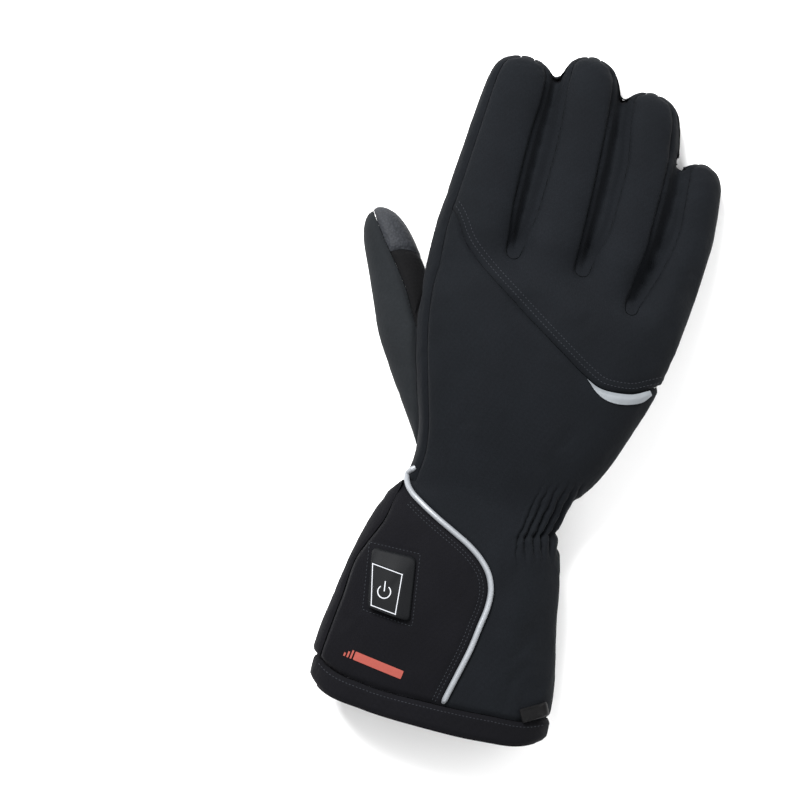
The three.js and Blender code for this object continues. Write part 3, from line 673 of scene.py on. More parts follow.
def minus(body, *tools):
    return combined(body, "DIFFERENCE", *tools)


def inside(body, *tools):
    return combined(body, "INTERSECT", *tools)


def joined(*bodies):
    return combined(bodies[0], "UNION", *bodies[1:])


def remesh(obj, voxel):
    step = obj.modifiers.new("remesh", "REMESH")
    step.mode = "VOXEL"
    step.voxel_size = voxel
    return baked(obj)


def relax(obj, times, chosen=None):
    """Smooths the mesh, or its chosen vertices, a number of times."""
    bm = bmesh.new()
    bm.from_mesh(obj.data)
    verts = bm.verts[:]
    if chosen is not None:
        bm.verts.ensure_lookup_table()
        verts = [bm.verts[number] for number in np.flatnonzero(chosen)]
    axes = {"use_axis_" + axis: True for axis in "xyz"}
    for _ in range(times):
        bmesh.ops.smooth_vert(bm, verts=verts, factor=0.5, **axes)
    bm.to_mesh(obj.data)
    bm.free()


def inflate(obj, cap):
    """Blows the padding up as cloth, with no point moved further than the cap."""
    pressure, frames = 4, 20
    start = read(obj.data)
    cloth = obj.modifiers.new("cloth", "CLOTH")
    settings = cloth.settings
    settings.quality = 4
    settings.mass = 0.2
    settings.tension_stiffness = settings.compression_stiffness = 12
    settings.shear_stiffness = 4
    settings.bending_stiffness = 0.4
    settings.use_pressure = True
    settings.uniform_pressure_force = pressure
    settings.shrink_min = -0.02
    settings.effector_weights.gravity = 0
    cloth.collision_settings.use_collision = False
    cloth.collision_settings.use_self_collision = False
    scene = bpy.context.scene
    for number in range(1, frames + 1):
        scene.frame_set(number)
    graph = bpy.context.evaluated_depsgraph_get()
    points = read(obj.evaluated_get(graph).data)
    obj.modifiers.clear()
    scene.frame_set(1)
    moved = points - start
    far = np.linalg.norm(moved, axis=1)
    write(obj.data, start + moved * np.minimum(1, cap / np.maximum(far, 1e-9))[:, None])


def subdivide(obj):
    step = obj.modifiers.new("subdivide", "SUBSURF")
    step.levels = step.render_levels = 1
    return baked(obj)


INSET = 0.5 * MM  # the padding starts this much inside its skin and is blown up to it
VOXEL = 2.0 * MM


def hand_forms(offset):
    """The body's form and the four fingers', each a closed loft."""
    body = loft("body", [oval(station, offset, 64) for station in dense(body_stations())])
    rods = []
    for number, finger in enumerate(FINGERS):
        stations = dense(finger_stations(number, offset))
        rods.append(loft(finger["name"], [oval(station, offset, 40) for station in stations]))
    return [body, *rods]


def gathered(name, forms):
    """One object that holds the meshes of several."""
    bm = bmesh.new()
    for form in forms:
        bm.from_mesh(form.data)
    return from_bmesh(name, bm)


def settle(points):
    """Presses the padding flat where it lies on the table."""
    low = points[:, 2]
    soft = 1.2 * MM
    points[:, 2] = np.where(low < soft, soft * np.exp(np.minimum(low / soft - 1, 0)), low) - 0.2 * MM
    points[:, 2] = np.maximum(points[:, 2], 0.1 * MM)


def part_fingers(points, home):
    """Keeps each finger on its own side of the lines between them. home is where the points were."""
    for number in range(1, len(FINGERS)):
        free = home[:, 1] > crotch_y(number) + 3 * MM
        line = finger_line(number, points[:, 1])
        left = free & (home[:, 0] < finger_line(number, home[:, 1]))
        right = free & ~left
        points[left, 0] = np.minimum(points[left, 0], line[left] - 0.25 * MM)
        points[right, 0] = np.maximum(points[right, 0], line[right] + 0.25 * MM)


def gather_field(points):
    """Folds that the elastic draws in at the wrist, as a height at each point."""
    s, d = sizes(), details()
    oval_here = body_at(points[:, 1])
    inward = oval_here["x"] + oval_here["half"] - points[:, 0]
    wrist = body_at(np.array([s.cuff_length]))
    edge = wrist["x"][0] + wrist["half"][0]
    elastic = s.cuff_length - 8.5 * MM + 0.37 * (points[:, 0] - 29 * MM)
    forward = points[:, 1] - elastic
    ahead = forward > 0
    fold = (edge - 2 * MM - points[:, 0] + np.where(ahead, 0.2, -0.22) * forward) / GATHER_PITCH
    fold += 0.3 * soft_noise(points, 8 * MM, 11) + 0.15 * soft_noise(points, 3.5 * MM, 12)
    ridge = np.abs(np.sin(math.pi * fold))
    shape = 1.35 * ridge**0.8 - 1
    band = np.clip(fold + 0.9, 0, 1) * np.clip(d.gathers - 0.2 - fold, 0, 1)
    reach = np.where(ahead, 24 * MM, 15 * MM)
    window = np.cos(0.5 * math.pi * np.clip(forward / reach, -1, 1)) ** np.where(ahead, 1, 1.8)
    outer = 1 - 0.5 * np.exp(-((inward / (3 * MM)) ** 2))
    fade = 1 - 0.07 * np.clip(fold, 0, 10)
    pinch = 0.8 * MM * np.exp(-((forward / (1.5 * MM)) ** 2))
    return (d.gather_depth * shape * window * outer * fade - pinch) * band


def soft_noise(points, scale, seed):
    """Smooth chance rise and fall, the same on every run."""
    offset = Vector((seed * 7.1, seed * 3.3, seed * 5.7))
    return np.array([noise.noise(Vector(point) / scale + offset) for point in points])


# Half the width of a channel between two fingers, at how far past the crotch
CHANNEL_REACH = np.array((-4, 0, 25, 50, 75, 92)) * MM
CHANNEL_HALF = np.array((1.4, 2.7, 4.8, 5.3, 4.2, 3)) * MM


def sink_between_fingers(obj):
    """Lowers the strips between the fingers to a channel, from the crotch to the tips."""
    points = read(obj.data)
    for number in range(1, len(FINGERS)):
        reach = points[:, 1] - crotch_y(number)
        half = np.interp(reach, CHANNEL_REACH, CHANNEL_HALF)
        start = np.clip((reach + 2.5 * MM) / (8 * MM), 0, 1)
        share = np.abs(points[:, 0] - finger_line(number, points[:, 1])) / half
        chosen = (reach > -2.5 * MM) & (share < 1) & (points[:, 2] > 0.55 * sizes().finger_height)
        depth = CHANNEL * start * np.clip(1 - share**2, 0, 1) ** 0.8
        points[chosen, 2] -= depth[chosen]
    write(obj.data, points)


def groove(points, line):
    """How deep a row of stitches pulls the cloth in."""
    return 0.32 * MM * np.exp(-((plan_distance(points, line) / (0.95 * MM)) ** 2))


def knuckle_rows():
    """The two rows of stitches past the knuckle seam."""
    return [beside(knuckle_line(), distance) for distance in (2.3 * MM, 4.5 * MM)]


def refine(obj, chosen):
    """Splits the faces round the chosen vertices once more."""
    bm = bmesh.new()
    bm.from_mesh(obj.data)
    bm.verts.ensure_lookup_table()
    edges = [edge for edge in bm.edges if chosen[edge.verts[0].index] and chosen[edge.verts[1].index]]
    bmesh.ops.subdivide_edges(bm, edges=edges, cuts=1, use_grid_fill=True, smooth=0.6)
    bm.to_mesh(obj.data)
    bm.free()
    obj.data.update()


def sculpt_hand(obj, home):
    """Gathers, creases and stitched rows of the hand's skin. home is where its points were."""
    points = read(obj.data)
    normals = read(obj.data, "normal")
    lift = gather_field(points)
    lift += 0.35 * MM * soft_noise(points, 26 * MM, 1)
    lift += 0.12 * MM * soft_noise(points, 9 * MM, 2)
    upper = points[:, 2] > UPPER_SIDE
    for line in knuckle_rows():
        lift[upper] -= groove(points[upper], line)
    points += normals * lift[:, None]
    part_fingers(points, home)
    settle(points)
    write(obj.data, points)


# Zones of the pieces: each cutter covers one piece, grown to clear its neighbours


def hem_line(key):
    """The hem's seam or its edge, as the table has it."""
    s = sizes()
    middle = -0.034 * s.mouth_width
    return smooth_line([(middle + row["across"] * s.mouth_width / 2, row[key] * s.hem_depth) for row in HEM])


def hem_zone(grow=0):
    seam = [(x, y + grow) for x, y in hem_line("seam")]
    return column([*seam, (FAR, -FAR), (-FAR, -FAR)])


def below_hem():
    return column([*hem_line("edge"), (FAR, -FAR), (-FAR, -FAR)])


def seam_points(number, key, grow):
    """The top seam of a finger from its root to its tip."""
    foot = root_y(number) + 0.02 * FINGERS[number]["length"] * MM
    kept = [station for station in dense(finger_stations(number)) if station["y"] > foot]
    return [(station[key] + grow, station["y"]) for station in kept]


def fourchette_zone(number, grow=0):
    """The strip between two fingers: down one's seam, round the crotch and up the other's."""
    crotch = crotch_y(number + 1)
    down = [point for point in seam_points(number, "right_seam", -grow) if point[1] > crotch + 2 * MM][::-1]
    up = [point for point in seam_points(number + 1, "left_seam", grow) if point[1] > crotch + 2 * MM]
    middle = finger_line(number + 1, crotch)
    radius = FINGER_GAP / 2 + SEAM_INSET * FINGER[1]["seam"] + grow
    turn = np.linspace(math.pi, 2 * math.pi, 17)
    round_ = [(middle + radius * math.cos(angle), crotch + 0.9 * radius * math.sin(angle)) for angle in turn]
    return column([*down, *round_, *up, (up[-1][0], FAR), (down[0][0], FAR)])


def flap_top(grow=0):
    """The line where the flap's edge piece ends below the wrist."""
    s = sizes()
    return [
        (-FAR, 0.86 * s.cuff_length + grow),
        (-0.45 * s.mouth_width - 0.5 * grow, 0.86 * s.cuff_length + grow),
        (-0.348 * s.mouth_width + 1.8 * grow, s.cuff_length + 3.8 * grow),
    ]


def side_zone(grow=0):
    seam = seam_points(0, "left_seam", grow)[::-1]
    hand = [
        (station["x"] - station["half"] + SIDE_INSET + grow, station["y"])
        for station in dense(body_stations()[len(CUFF) + 1 : -3])
    ][::-1]
    return column([(seam[0][0], FAR), *seam, *hand, *flap_top(-grow)[::-1], (-FAR, FAR)])


def cuff_line(table):
    """A smooth line on the cuff, from a table in its width and length."""
    s = sizes()
    return smooth_line([(row["across"] * s.mouth_width, row["along"] * s.cuff_length) for row in table])


def fold_line(grow=0):
    return [(x + grow, y) for x, y in cuff_line(FOLD)]


def flap_edge_zone(grow=0):
    below = [point for point in fold_line(grow) if point[1] < 0.96 * sizes().cuff_length]
    return column([*flap_top(grow - sizes().gap), *below, (-FAR, below[-1][1])])


def slabs(name, spots):
    """A block whose top follows the spots: y, left, right and top at each."""
    return loft(name, [[(r, y, t), (l, y, t), (l, y, -FAR), (r, y, -FAR)] for y, l, r, t in spots], CUT)


def palm_zone(grow=0):
    """All that is palm or lies under the fingers."""
    s = sizes()
    spots = []
    for b in dense(body_stations()[:-3]):
        right = b["x"] + b["half"] - PALM_WRAP + grow
        spots.append((b["y"], -FAR, right, (b["low"] + b["high"]) / 2 + grow))
    hand = slabs("hand", spots)
    rods = []
    for number in range(len(FINGERS)):
        stations = dense(finger_stations(number))
        stations.append({**stations[-1], "y": stations[-1]["y"] + s.wall})
        last = number == len(FINGERS) - 1
        spots = [
            (
                f["y"],
                finger_line(number, f["y"]) - s.gap / 2,
                f["right_seam"] + grow if last else finger_line(number + 1, f["y"]) + s.gap / 2,
                (f["low"] + f["high"]) / 2 - LOWER_SEAM + grow,
            )
            for f in stations
        ]
        rods.append(slabs(FINGERS[number]["name"], spots))
    return joined(hand, *rods)


def piping_line():
    return cuff_line(PIPING)


def pocket_zone(grow=0):
    fold = fold_line(-sizes().wall)
    line = piping_line()
    top = line[:, 1].argmax()
    seam = [(x + grow, y + grow) for x, y in line[top + 8 :]][::-1]
    return column([(seam[0][0], fold[-1][1]), *seam, *fold])


def hand_point(across, along):
    """A point of the hand, across in the knuckles' width and along in the palm's length past the wrist."""
    s = sizes()
    return s.hand_shift + across * knuckle_width(), s.cuff_length + along * s.palm_length


def knuckle_line():
    return smooth_line([hand_point(row["across"], row["along"]) for row in KNUCKLE_SEAM])


def knuckle_zone(grow=0):
    seam = [(x, y - grow) for x, y in knuckle_line()]
    return column([(-FAR, seam[0][1]), *seam, (FAR, seam[-1][1]), (FAR, FAR), (-FAR, FAR)])


def patch_zone(grow=0):
    tip = finger_stations(0)[-1]["y"]
    left, right = finger_line(0, tip) - sizes().wall, finger_line(1, tip)
    foot = tip - PATCH_LENGTH - grow
    return column([(left, foot + 1.5 * MM), (right, foot), (right, FAR), (left, FAR)])


def cuff_side(grow=0):
    y = sizes().cuff_length - PALM_SEAM + grow
    return column([(-FAR, -FAR), (FAR, -FAR), (FAR, y), (-FAR, y)])


def thumb_back_zone(grow=0):
    aside = grow / sizes().thumb_width
    seam = smooth_line([thumb_point(row["along"], row["aside"] + aside) for row in THUMB_SEAM])
    return column([*seam, thumb_point(1.1, -4), thumb_point(-0.1, -4)])


def thumb_patch_zone(grow=0):
    """The thumb's grained tip, which is longer underneath than on top."""
    s = sizes()
    top, under = 18 * MM, 34 * MM
    slope = under - top

    def level(distance, height):
        near = 1 - (distance + grow) / s.thumb_length
        corners = ((near, -2), (near, 2), (2, 2), (2, -2))
        return [(*thumb_point(along, aside), height) for along, aside in corners]

    upper = level(top - slope, 2 * s.thumb_height)
    lower = level(under + slope, -s.thumb_height)
    return loft("patch", [upper, lower], CUT)


# Finishing the panels


def face_sides(mesh):
    """Which surface each face came from."""
    values = np.zeros(len(mesh.polygons), np.int32)
    mesh.attributes["side"].data.foreach_get("value", values)
    return values


def touched(mesh, chosen):
    """Which vertices belong to a chosen face."""
    counts = np.empty(len(mesh.polygons), np.int32)
    mesh.polygons.foreach_get("loop_total", counts)
    corners = np.empty(len(mesh.loops), np.int32)
    mesh.loops.foreach_get("vertex_index", corners)
    found = np.zeros(len(mesh.vertices), bool)
    found[corners[np.repeat(chosen, counts)]] = True
    return found


def direction_field(skin):
    """Looks up the skin's own direction at the nearest of its points."""
    normals = read(skin.data, "normal")
    tree = tree_of(read(skin.data))
    return lambda spots: np.array([normals[tree.find(spot)[1]] for spot in spots])


def valley(away, width):
    """How deep a seam is beside its line: 1 on the line, nearly 0 two widths off it."""
    return np.exp(-1.4 * (away / width) ** 2)


def draw_in(obj, outwards, depth=None, width=None, seed=0):
    """Draws the edges of a panel down into its seams, with small puckers beside them."""
    depth = details().seam_depth if depth is None else depth
    width = details().seam_width if width is None else width
    mesh = obj.data
    sides = face_sides(mesh)
    outer = np.flatnonzero(touched(mesh, sides == SKIN))
    rim = touched(mesh, sides == SKIN) & touched(mesh, sides != SKIN)
    points = read(mesh)
    tree = tree_of(points[rim])
    away = np.array([tree.find(point)[2] for point in points[outer]])
    near = away < PUCKER_REACH + 4 * width
    outer, away = outer[near], away[near]
    pucker = soft_noise(points[outer], 4.5 * MM, 3 + seed)
    directions = outwards(points[outer])
    at_tip = np.clip((directions[:, 1] - 0.2) / 0.5, 0, 1)
    sink = depth * valley(away, width) * (1 + 0.06 * pucker) * (1 - 0.75 * at_tip)
    sink += 0.1 * MM * pucker * np.exp(-(((away - PUCKER_REACH) / (0.7 * PUCKER_REACH)) ** 2))
    points[outer] -= directions * sink[:, None]
    points[outer, 2] = np.maximum(points[outer, 2], 0)
    write(mesh, points)


def shift():
    """From the pattern to the frame's own place: the button shows where that is."""
    low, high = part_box("power_button")
    middle = (low + high) / 2
    return Vector((middle.x - BUTTON_SPOT[0], middle.y - BUTTON_SPOT[1], 0))


def finish_piece(obj, name, nodes, materials, angle=38):
    """Gives a piece its place, shading, finish, body and the CAD nodes that it stands for."""
    obj.name = name
    obj.data.name = name
    obj["on_bench"] = False
    obj.data.transform(Matrix.Translation(shift()))
    obj.data.materials.clear()
    for material in materials:
        obj.data.materials.append(material)
    obj.data.polygons.foreach_set("use_smooth", np.ones(len(obj.data.polygons), bool))
    obj.data.set_sharp_from_angle(angle=math.radians(angle))
    if "side" in obj.data.attributes:
        if len(materials) > 1:
            slots = (face_sides(obj.data) == LINING).astype(np.int32)
            obj.data.polygons.foreach_set("material_index", slots)
        obj.data.attributes.remove(obj.data.attributes["side"])
    obj.data.update()
    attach(obj, "root")
    if nodes:
        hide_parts(*nodes)
    return obj


# Materials


def add(tree, kind, inputs=None, **settings):
    """Adds a node with its settings, and links or sets its inputs."""
    node = tree.nodes.new("ShaderNode" + kind)
    for name, value in settings.items():
        setattr(node, name, value)
    for name, value in (inputs or {}).items():
        if isinstance(value, bpy.types.NodeSocket):
            tree.links.new(value, node.inputs[name])
        else:
            node.inputs[name].default_value = value
    return node


def shades(base, spread):
    """Two colours round the base, darker and lighter."""
    return [(*[part * (1 - spread) for part in base], 1), (*[part * (1 + spread) for part in base], 1)]


def new_material(name, **shader):
    """A material with one shader, and the place on the object that its textures go by."""
    material = bpy.data.materials.new(name)
    material.use_nodes = True
    tree = material.node_tree
    tree.nodes.clear()
    output = add(tree, "OutputMaterial")
    principled = add(tree, "BsdfPrincipled", shader)
    tree.links.new(principled.outputs[0], output.inputs["Surface"])
    place = add(tree, "TexCoord").outputs["Object"]
    return material, tree, principled, place


def bumped(tree, shader, height, strength, distance, **settings):
    """Gives the shader a relief after a height."""
    relief = {"Strength": strength, "Distance": distance, "Height": height}
    bump = add(tree, "Bump", relief, **settings)
    tree.links.new(bump.outputs[0], shader.inputs["Normal"])


def tinted(tree, shader, factor, colours, ends=(0, 1)):
    """Colours the shader from one shade to the other, between two values of a factor."""
    ramp = add(tree, "ValToRGB", {"Fac": factor})
    for stop, colour, end in zip(ramp.color_ramp.elements, colours, ends):
        stop.color = colour
        stop.position = end
    tree.links.new(ramp.outputs["Color"], shader.inputs["Base Color"])


def cloth(name, base, spacing, roughness=0.85, relief=0.12):
    """Knitted face cloth of a soft shell: threads cross at the spacing, and the dye varies a little."""
    gloss = {"Roughness": roughness, "Sheen Weight": 0.01, "Sheen Roughness": 0.5, "Specular IOR Level": 0.06}
    material, tree, shader, place = new_material(name, **gloss)
    shader.inputs["Sheen Tint"].default_value = (0.75, 0.78, 0.85, 1)
    scale = 1 / spacing
    bent = add(tree, "Mapping", {"Vector": place, "Rotation": (0.6, 0.5, 0.78)}).outputs[0]
    wave = {"Vector": bent, "Scale": scale / 6.28, "Distortion": 1.5}
    warp, weft = (add(tree, "TexWave", wave, bands_direction=axis) for axis in "XY")
    threads = add(tree, "Math", {0: warp.outputs["Fac"], 1: weft.outputs["Fac"]}, operation="MULTIPLY")
    nap = add(tree, "TexNoise", {"Vector": place, "Scale": scale * 0.8, "Detail": 4, "Roughness": 0.7})
    height = add(tree, "Math", {0: threads.outputs[0], 1: nap.outputs["Fac"]}, operation="ADD")
    bumped(tree, shader, height.outputs[0], relief, 0.4 * MM)
    patches = add(tree, "TexNoise", {"Vector": place, "Scale": 45, "Detail": 3})
    fleck = add(tree, "Math", {0: nap.outputs["Fac"], 1: patches.outputs["Fac"]}, operation="MULTIPLY")
    tinted(tree, shader, fleck.outputs[0], shades(base, 0.16), (0.12, 0.42))
    return material


def rubber(name, base, roughness=0.45, relief=0.05, grain=0.5 * MM):
    """Moulded silicone: a satin skin with a very fine grain from its mould."""
    gloss = {"Roughness": roughness, "IOR": 1.43, "Specular IOR Level": 0.1}
    material, tree, shader, place = new_material(name, **gloss)
    speck = add(tree, "TexNoise", {"Vector": place, "Scale": 1 / grain, "Detail": 3}).outputs["Fac"]
    bumped(tree, shader, speck, relief, 0.2 * MM)
    tinted(tree, shader, speck, shades(base, 0.08))
    return material


def grained(name, base):
    """Artificial leather with a pebble grain about a millimetre across."""
    material, tree, shader, place = new_material(name, **{"Roughness": 0.72, "Specular IOR Level": 0.2})
    pebbles = {"Vector": place, "Scale": 1 / (1.1 * MM), "Randomness": 0.9}
    cells = add(tree, "TexVoronoi", pebbles, feature="F1").outputs["Distance"]
    bumped(tree, shader, cells, 0.5, 0.5 * MM, invert=True)
    tinted(tree, shader, cells, shades(base, 0.22)[::-1], (0, 0.7))
    return material


def reflective(name, base, pitch=0.6 * MM):
    """Woven reflective cloth: glass beads in a grey film give it an even, pale gloss."""
    material, tree, shader, place = new_material(name, **{"Roughness": 0.42, "Metallic": 0.15})
    beads = add(tree, "TexVoronoi", {"Vector": place, "Scale": 1 / pitch}, feature="F1")
    bumped(tree, shader, beads.outputs["Distance"], 0.2, 0.2 * MM)
    blotch = add(tree, "TexNoise", {"Vector": place, "Scale": 160, "Detail": 2})
    tinted(tree, shader, blotch.outputs["Fac"], shades(base, 0.1))
    return material


def finish(name):
    """The material of that name, made once."""
    made = bpy.data.materials.get(name)
    if made:
        return made
    f = finishes()
    makers = {
        "softshell_knit": lambda: cloth(name, f.shell, 0.9 * MM),
        "softshell_thumb": lambda: cloth(name, f.thumb, 0.9 * MM),
        "softshell_cuff": lambda: cloth(name, f.cuff, 0.9 * MM),
        "synthetic_suede": lambda: cloth(name, f.palm, 0.7 * MM, roughness=0.92, relief=0.2),
        "rib_knit": lambda: cloth(name, f.hem, 1.1 * MM, relief=0.2),
        "fleece_lining": lambda: cloth(name, linear("#101012"), 1.6 * MM, roughness=0.95, relief=0.5),
        "grained_leatherette": lambda: grained(name, f.grain),
        "reflective_piping": lambda: reflective(name, f.piping),
        "glass_bead_tape": lambda: reflective(name, f.tape, 0.4 * MM),
        "moulded_silicone": lambda: rubber(name, f.button, 0.6),
        "moulded_rubber_tag": lambda: rubber(name, linear("#0B0B0C"), 0.5),
        "printed_silicone": lambda: rubber(name, linear("#1C1D20"), 0.3),
        "pad_print": lambda: rubber(name, f.print_, 0.5),
        "transfer_film": lambda: rubber(name, f.badge, 0.5, 0.1, 0.8 * MM),
        "sewing_thread": lambda: cloth(name, f.thread, 0.4 * MM, roughness=0.6),
    }
    return makers[name]()


def lined(name):
    """A cloth's finish with that of its fleece lining."""
    return [finish(name), finish("fleece_lining")]


def shrunk(skin, depth):
    """The skin's inner side, a wall's depth further in."""
    copy = bench("inner", skin.data.copy())
    write(copy.data, read(copy.data) - depth * read(copy.data, "normal"))
    return copy


class GLOVE_OT_forms(bpy.types.Operator):
    """Blow up the padded forms of the hand and the thumb, and the hollow inside them"""

    bl_idname = "glove.forms"
    bl_label = "Padded forms"

    def execute(self, context):
        s = sizes()
        hand = remesh(gathered("hand_form", hand_forms(-INSET)), VOXEL)
        points = read(hand.data)
        start, end = (knuckle_y() + reach for reach in ROOT_CREASE)
        crease = (points[:, 1] > start) & (points[:, 1] < end) & (points[:, 2] > CREASE_HEIGHT)
        relax(hand, 20, crease)
        relax(hand, 3)
        inflate(hand, HAND_SWELL)
        hand = subdivide(hand)
        sink_between_fingers(hand)
        inner = shrunk(hand, s.wall)
        points = read(hand.data)
        refine(hand, (points[:, 0] > 2 * MM) & (np.abs(points[:, 1] - s.cuff_length) < WRIST_FOLDS))
        home = read(hand.data)
        sculpt_hand(hand, home)
        hand.name = "hand_skin"
        mark(hand, SKIN)

        thumb_form = loft("thumb", [oval(station, -INSET, 48) for station in dense(thumb_stations(-INSET))])
        thumb = remesh(thumb_form, VOXEL)
        relax(thumb, 3)
        inflate(thumb, THUMB_SWELL)
        thumb = subdivide(thumb)
        thumb_room = shrunk(thumb, s.wall)
        points = read(thumb.data)
        points += read(thumb.data, "normal") * (0.3 * MM * soft_noise(points, 18 * MM, 5))[:, None]
        settle(points)
        write(thumb.data, points)
        thumb.name = "thumb_skin"
        mark(thumb, SKIN)

        hollow = remesh(gathered("hollow", [inner, thumb_room]), LINING_VOXEL)
        relax(hollow, 3)
        hollow.name = "hollow"
        mark(hollow, LINING)
        return {"FINISHED"}


def part(name):
    return bpy.data.objects[name]


def swollen(skin, lift):
    """A copy of the skin, lifted along its normals by one length or by a function of its points."""
    copy = bench("swollen", skin.data.copy())
    points = read(copy.data)
    height = lift(points) if callable(lift) else np.full(len(points), lift)
    points += read(copy.data, "normal") * height[:, None]
    points[:, 2] = np.maximum(points[:, 2], 0.05 * MM)
    write(copy.data, points)
    mark(copy, SKIN)
    return copy


# Slot and finish of the panels that aren't of the plain soft shell
PANEL_CLOTHS = {
    "hem_band": ("hem_cloth", "rib_knit"),
    "cuff_palm_panel": ("cuff_shell", "softshell_cuff"),
    "touch_patch_index": ("touch_grain", "grained_leatherette"),
    "palm_panel": ("palm_cloth", "synthetic_suede"),
}


class GLOVE_OT_panels(bpy.types.Operator):
    """Cut the sewn panels of the back, the palm, the fingers and the hem out of the padded skin"""

    bl_idname = "glove.panels"
    bl_label = "Sewn panels"

    def execute(self, context):
        s = sizes()
        gap = s.gap
        skin, hollow = part("hand_skin"), part("hollow")
        trim = below_hem()
        rest = minus(skin, hollow, trim)
        made = {}
        raised = swollen(skin, HEM_LIFT)
        made["hem_band"] = inside(minus(raised, hollow, trim), hem_zone())
        rest = minus(rest, hem_zone(gap))
        for number, names in enumerate(("index_middle", "middle_ring", "ring_little")):
            made["fourchette_" + names] = inside(rest, fourchette_zone(number))
            rest = minus(rest, fourchette_zone(number, gap))
        made["index_side_strip"] = inside(rest, side_zone())
        rest = minus(rest, side_zone(gap), flap_edge_zone(gap))
        palm = inside(rest, palm_zone())
        rest = minus(rest, palm_zone(gap), pocket_zone(gap / 2))
        made["cuff_palm_panel"] = inside(palm, cuff_side())
        made["touch_patch_index"] = inside(palm, patch_zone())
        made["palm_panel"] = minus(palm, cuff_side(gap), patch_zone(gap))
        made["finger_back_panel"] = inside(rest, knuckle_zone())
        made["hand_back_panel"] = minus(rest, knuckle_zone(gap))
        outwards = direction_field(skin)
        for number, (name, obj) in enumerate(made.items()):
            slot, material = PANEL_CLOTHS.get(name, ("soft_shell", "softshell_knit"))
            draw_in(obj, outwards, seed=number)
            finish_piece(obj, "padded_" + name, [name], lined(material))
        return {"FINISHED"}


def pocket_lift(points):
    """How far the pocket stands off the cuff: it swells over the battery and round the button."""
    s = sizes()
    line = piping_line()
    tree = KDTree(len(line))
    for number, (x, y) in enumerate(line):
        tree.insert((x, y, 0), number)
    tree.balance()
    lift = np.full(len(points), 1.2 * MM)
    grooves = [groove(points, line) for line in pocket_rows()]
    near = (points[:, 0] < 25 * MM) & (points[:, 1] < 115 * MM) & (points[:, 2] > 10 * MM)
    across, along = ([row[key] for row in FOLD][::-1] for key in ("across", "along"))
    fold = through(across, along, points[:, 1] / s.cuff_length)
    for number in np.flatnonzero(near):
        x, y, _ = points[number]
        seam = tree.find((x, y, 0))[2]
        full = 1 - math.exp(-((seam / (7 * MM)) ** 2))
        hem = 1 - math.exp(-((max(y - 4 * MM, 0) / (7 * MM)) ** 2))
        off = math.hypot(x - BUTTON_SPOT[0], (y - BUTTON_SPOT[1]) * 0.8)
        bulge = 1.6 * math.exp(-((off / (19 * MM)) ** 4))
        edge = 3.0 * math.exp(-(((x - fold[number] * s.mouth_width) / (9 * MM)) ** 2))
        lift[number] = (0.2 + (1.4 + bulge + edge) * full * hem) * MM
    return lift - sum(grooves)


def around_button():
    """The rectangle of stitches round the button."""
    corners = np.array([(-45.3, 66), (-22.6, 66.6), (-18.2, 35.3), (-40.9, 36.9), (-45.3, 66)]) * MM
    runs = [np.linspace(start, end, 24, endpoint=False) for start, end in zip(corners, corners[1:])]
    return np.concatenate([*runs, corners[-1:]])


def pocket_rows():
    """The stitches on the pocket: two rows inside the piping and the one round the button."""
    line = piping_line()[10:]
    return [beside(line, -3.3 * MM), beside(line, -4.8 * MM), around_button()]


class GLOVE_OT_pocket(bpy.types.Operator):
    """Build the battery pocket panel, which folds over the flap at the thumb side"""

    bl_idname = "glove.pocket"
    bl_label = "Battery pocket"

    def execute(self, context):
        gap = sizes().gap
        swell = swollen(part("hand_skin"), pocket_lift)
        swell.name = "pocket_skin"
        panel = inside(swell, pocket_zone(-gap / 2))
        zones = (hem_zone, palm_zone, flap_edge_zone, side_zone)
        panel = minus(panel, part("hollow"), *(zone(gap) for zone in zones))
        draw_in(panel, direction_field(swell), seed=21)
        cloths = lined("softshell_cuff")
        finish_piece(panel, "padded_pocket_panel", ["pocket_panel"], cloths)
        return {"FINISHED"}


def flap_frame():
    """Left edge, right edge, foot and top of the flap's tab, and the height of the cuff's middle."""
    s = sizes()
    cuff = body_at(np.array([s.cuff_length / 2]))
    left = float(cuff["x"][0] - cuff["half"][0])
    foot = s.hem_depth + FLAP_FOOT
    middle = float(cuff["low"][0] + cuff["high"][0]) / 2
    return left, left + FLAP_REACH, foot, foot + FLAP_LENGTH, middle


class GLOVE_OT_flap(bpy.types.Operator):
    """Build the closure flap: a turn round the cuff's thumb-side edge and a tab on the underside"""

    bl_idname = "glove.flap"
    bl_label = "Closure flap"

    def execute(self, context):
        s = sizes()
        skin, hollow = part("hand_skin"), part("hollow")
        grown = swollen(skin, s.gap + FLAP_CLOTH)
        turn = minus(inside(minus(grown, hollow), flap_edge_zone()), hem_zone(s.gap))
        left, right, foot, top, middle = flap_frame()
        outline = [
            (left - s.wall, foot),
            (right, foot),
            (right, top - FLAP_CORNER - 2 * MM),
            (right - FLAP_CORNER, top - 2 * MM),
            (left - s.wall, top),
        ]
        tab = column(outline, 0, middle)
        under = swollen(skin, s.gap)
        tab = inside(minus(grown, under), tab)
        flap = joined(turn, tab)
        draw_in(flap, direction_field(grown), depth=0.6 * MM, width=1.2 * MM, seed=31)
        cloths = lined("softshell_cuff")
        finish_piece(flap, "padded_closure_flap", ["closure_flap"], cloths)
        return {"FINISHED"}


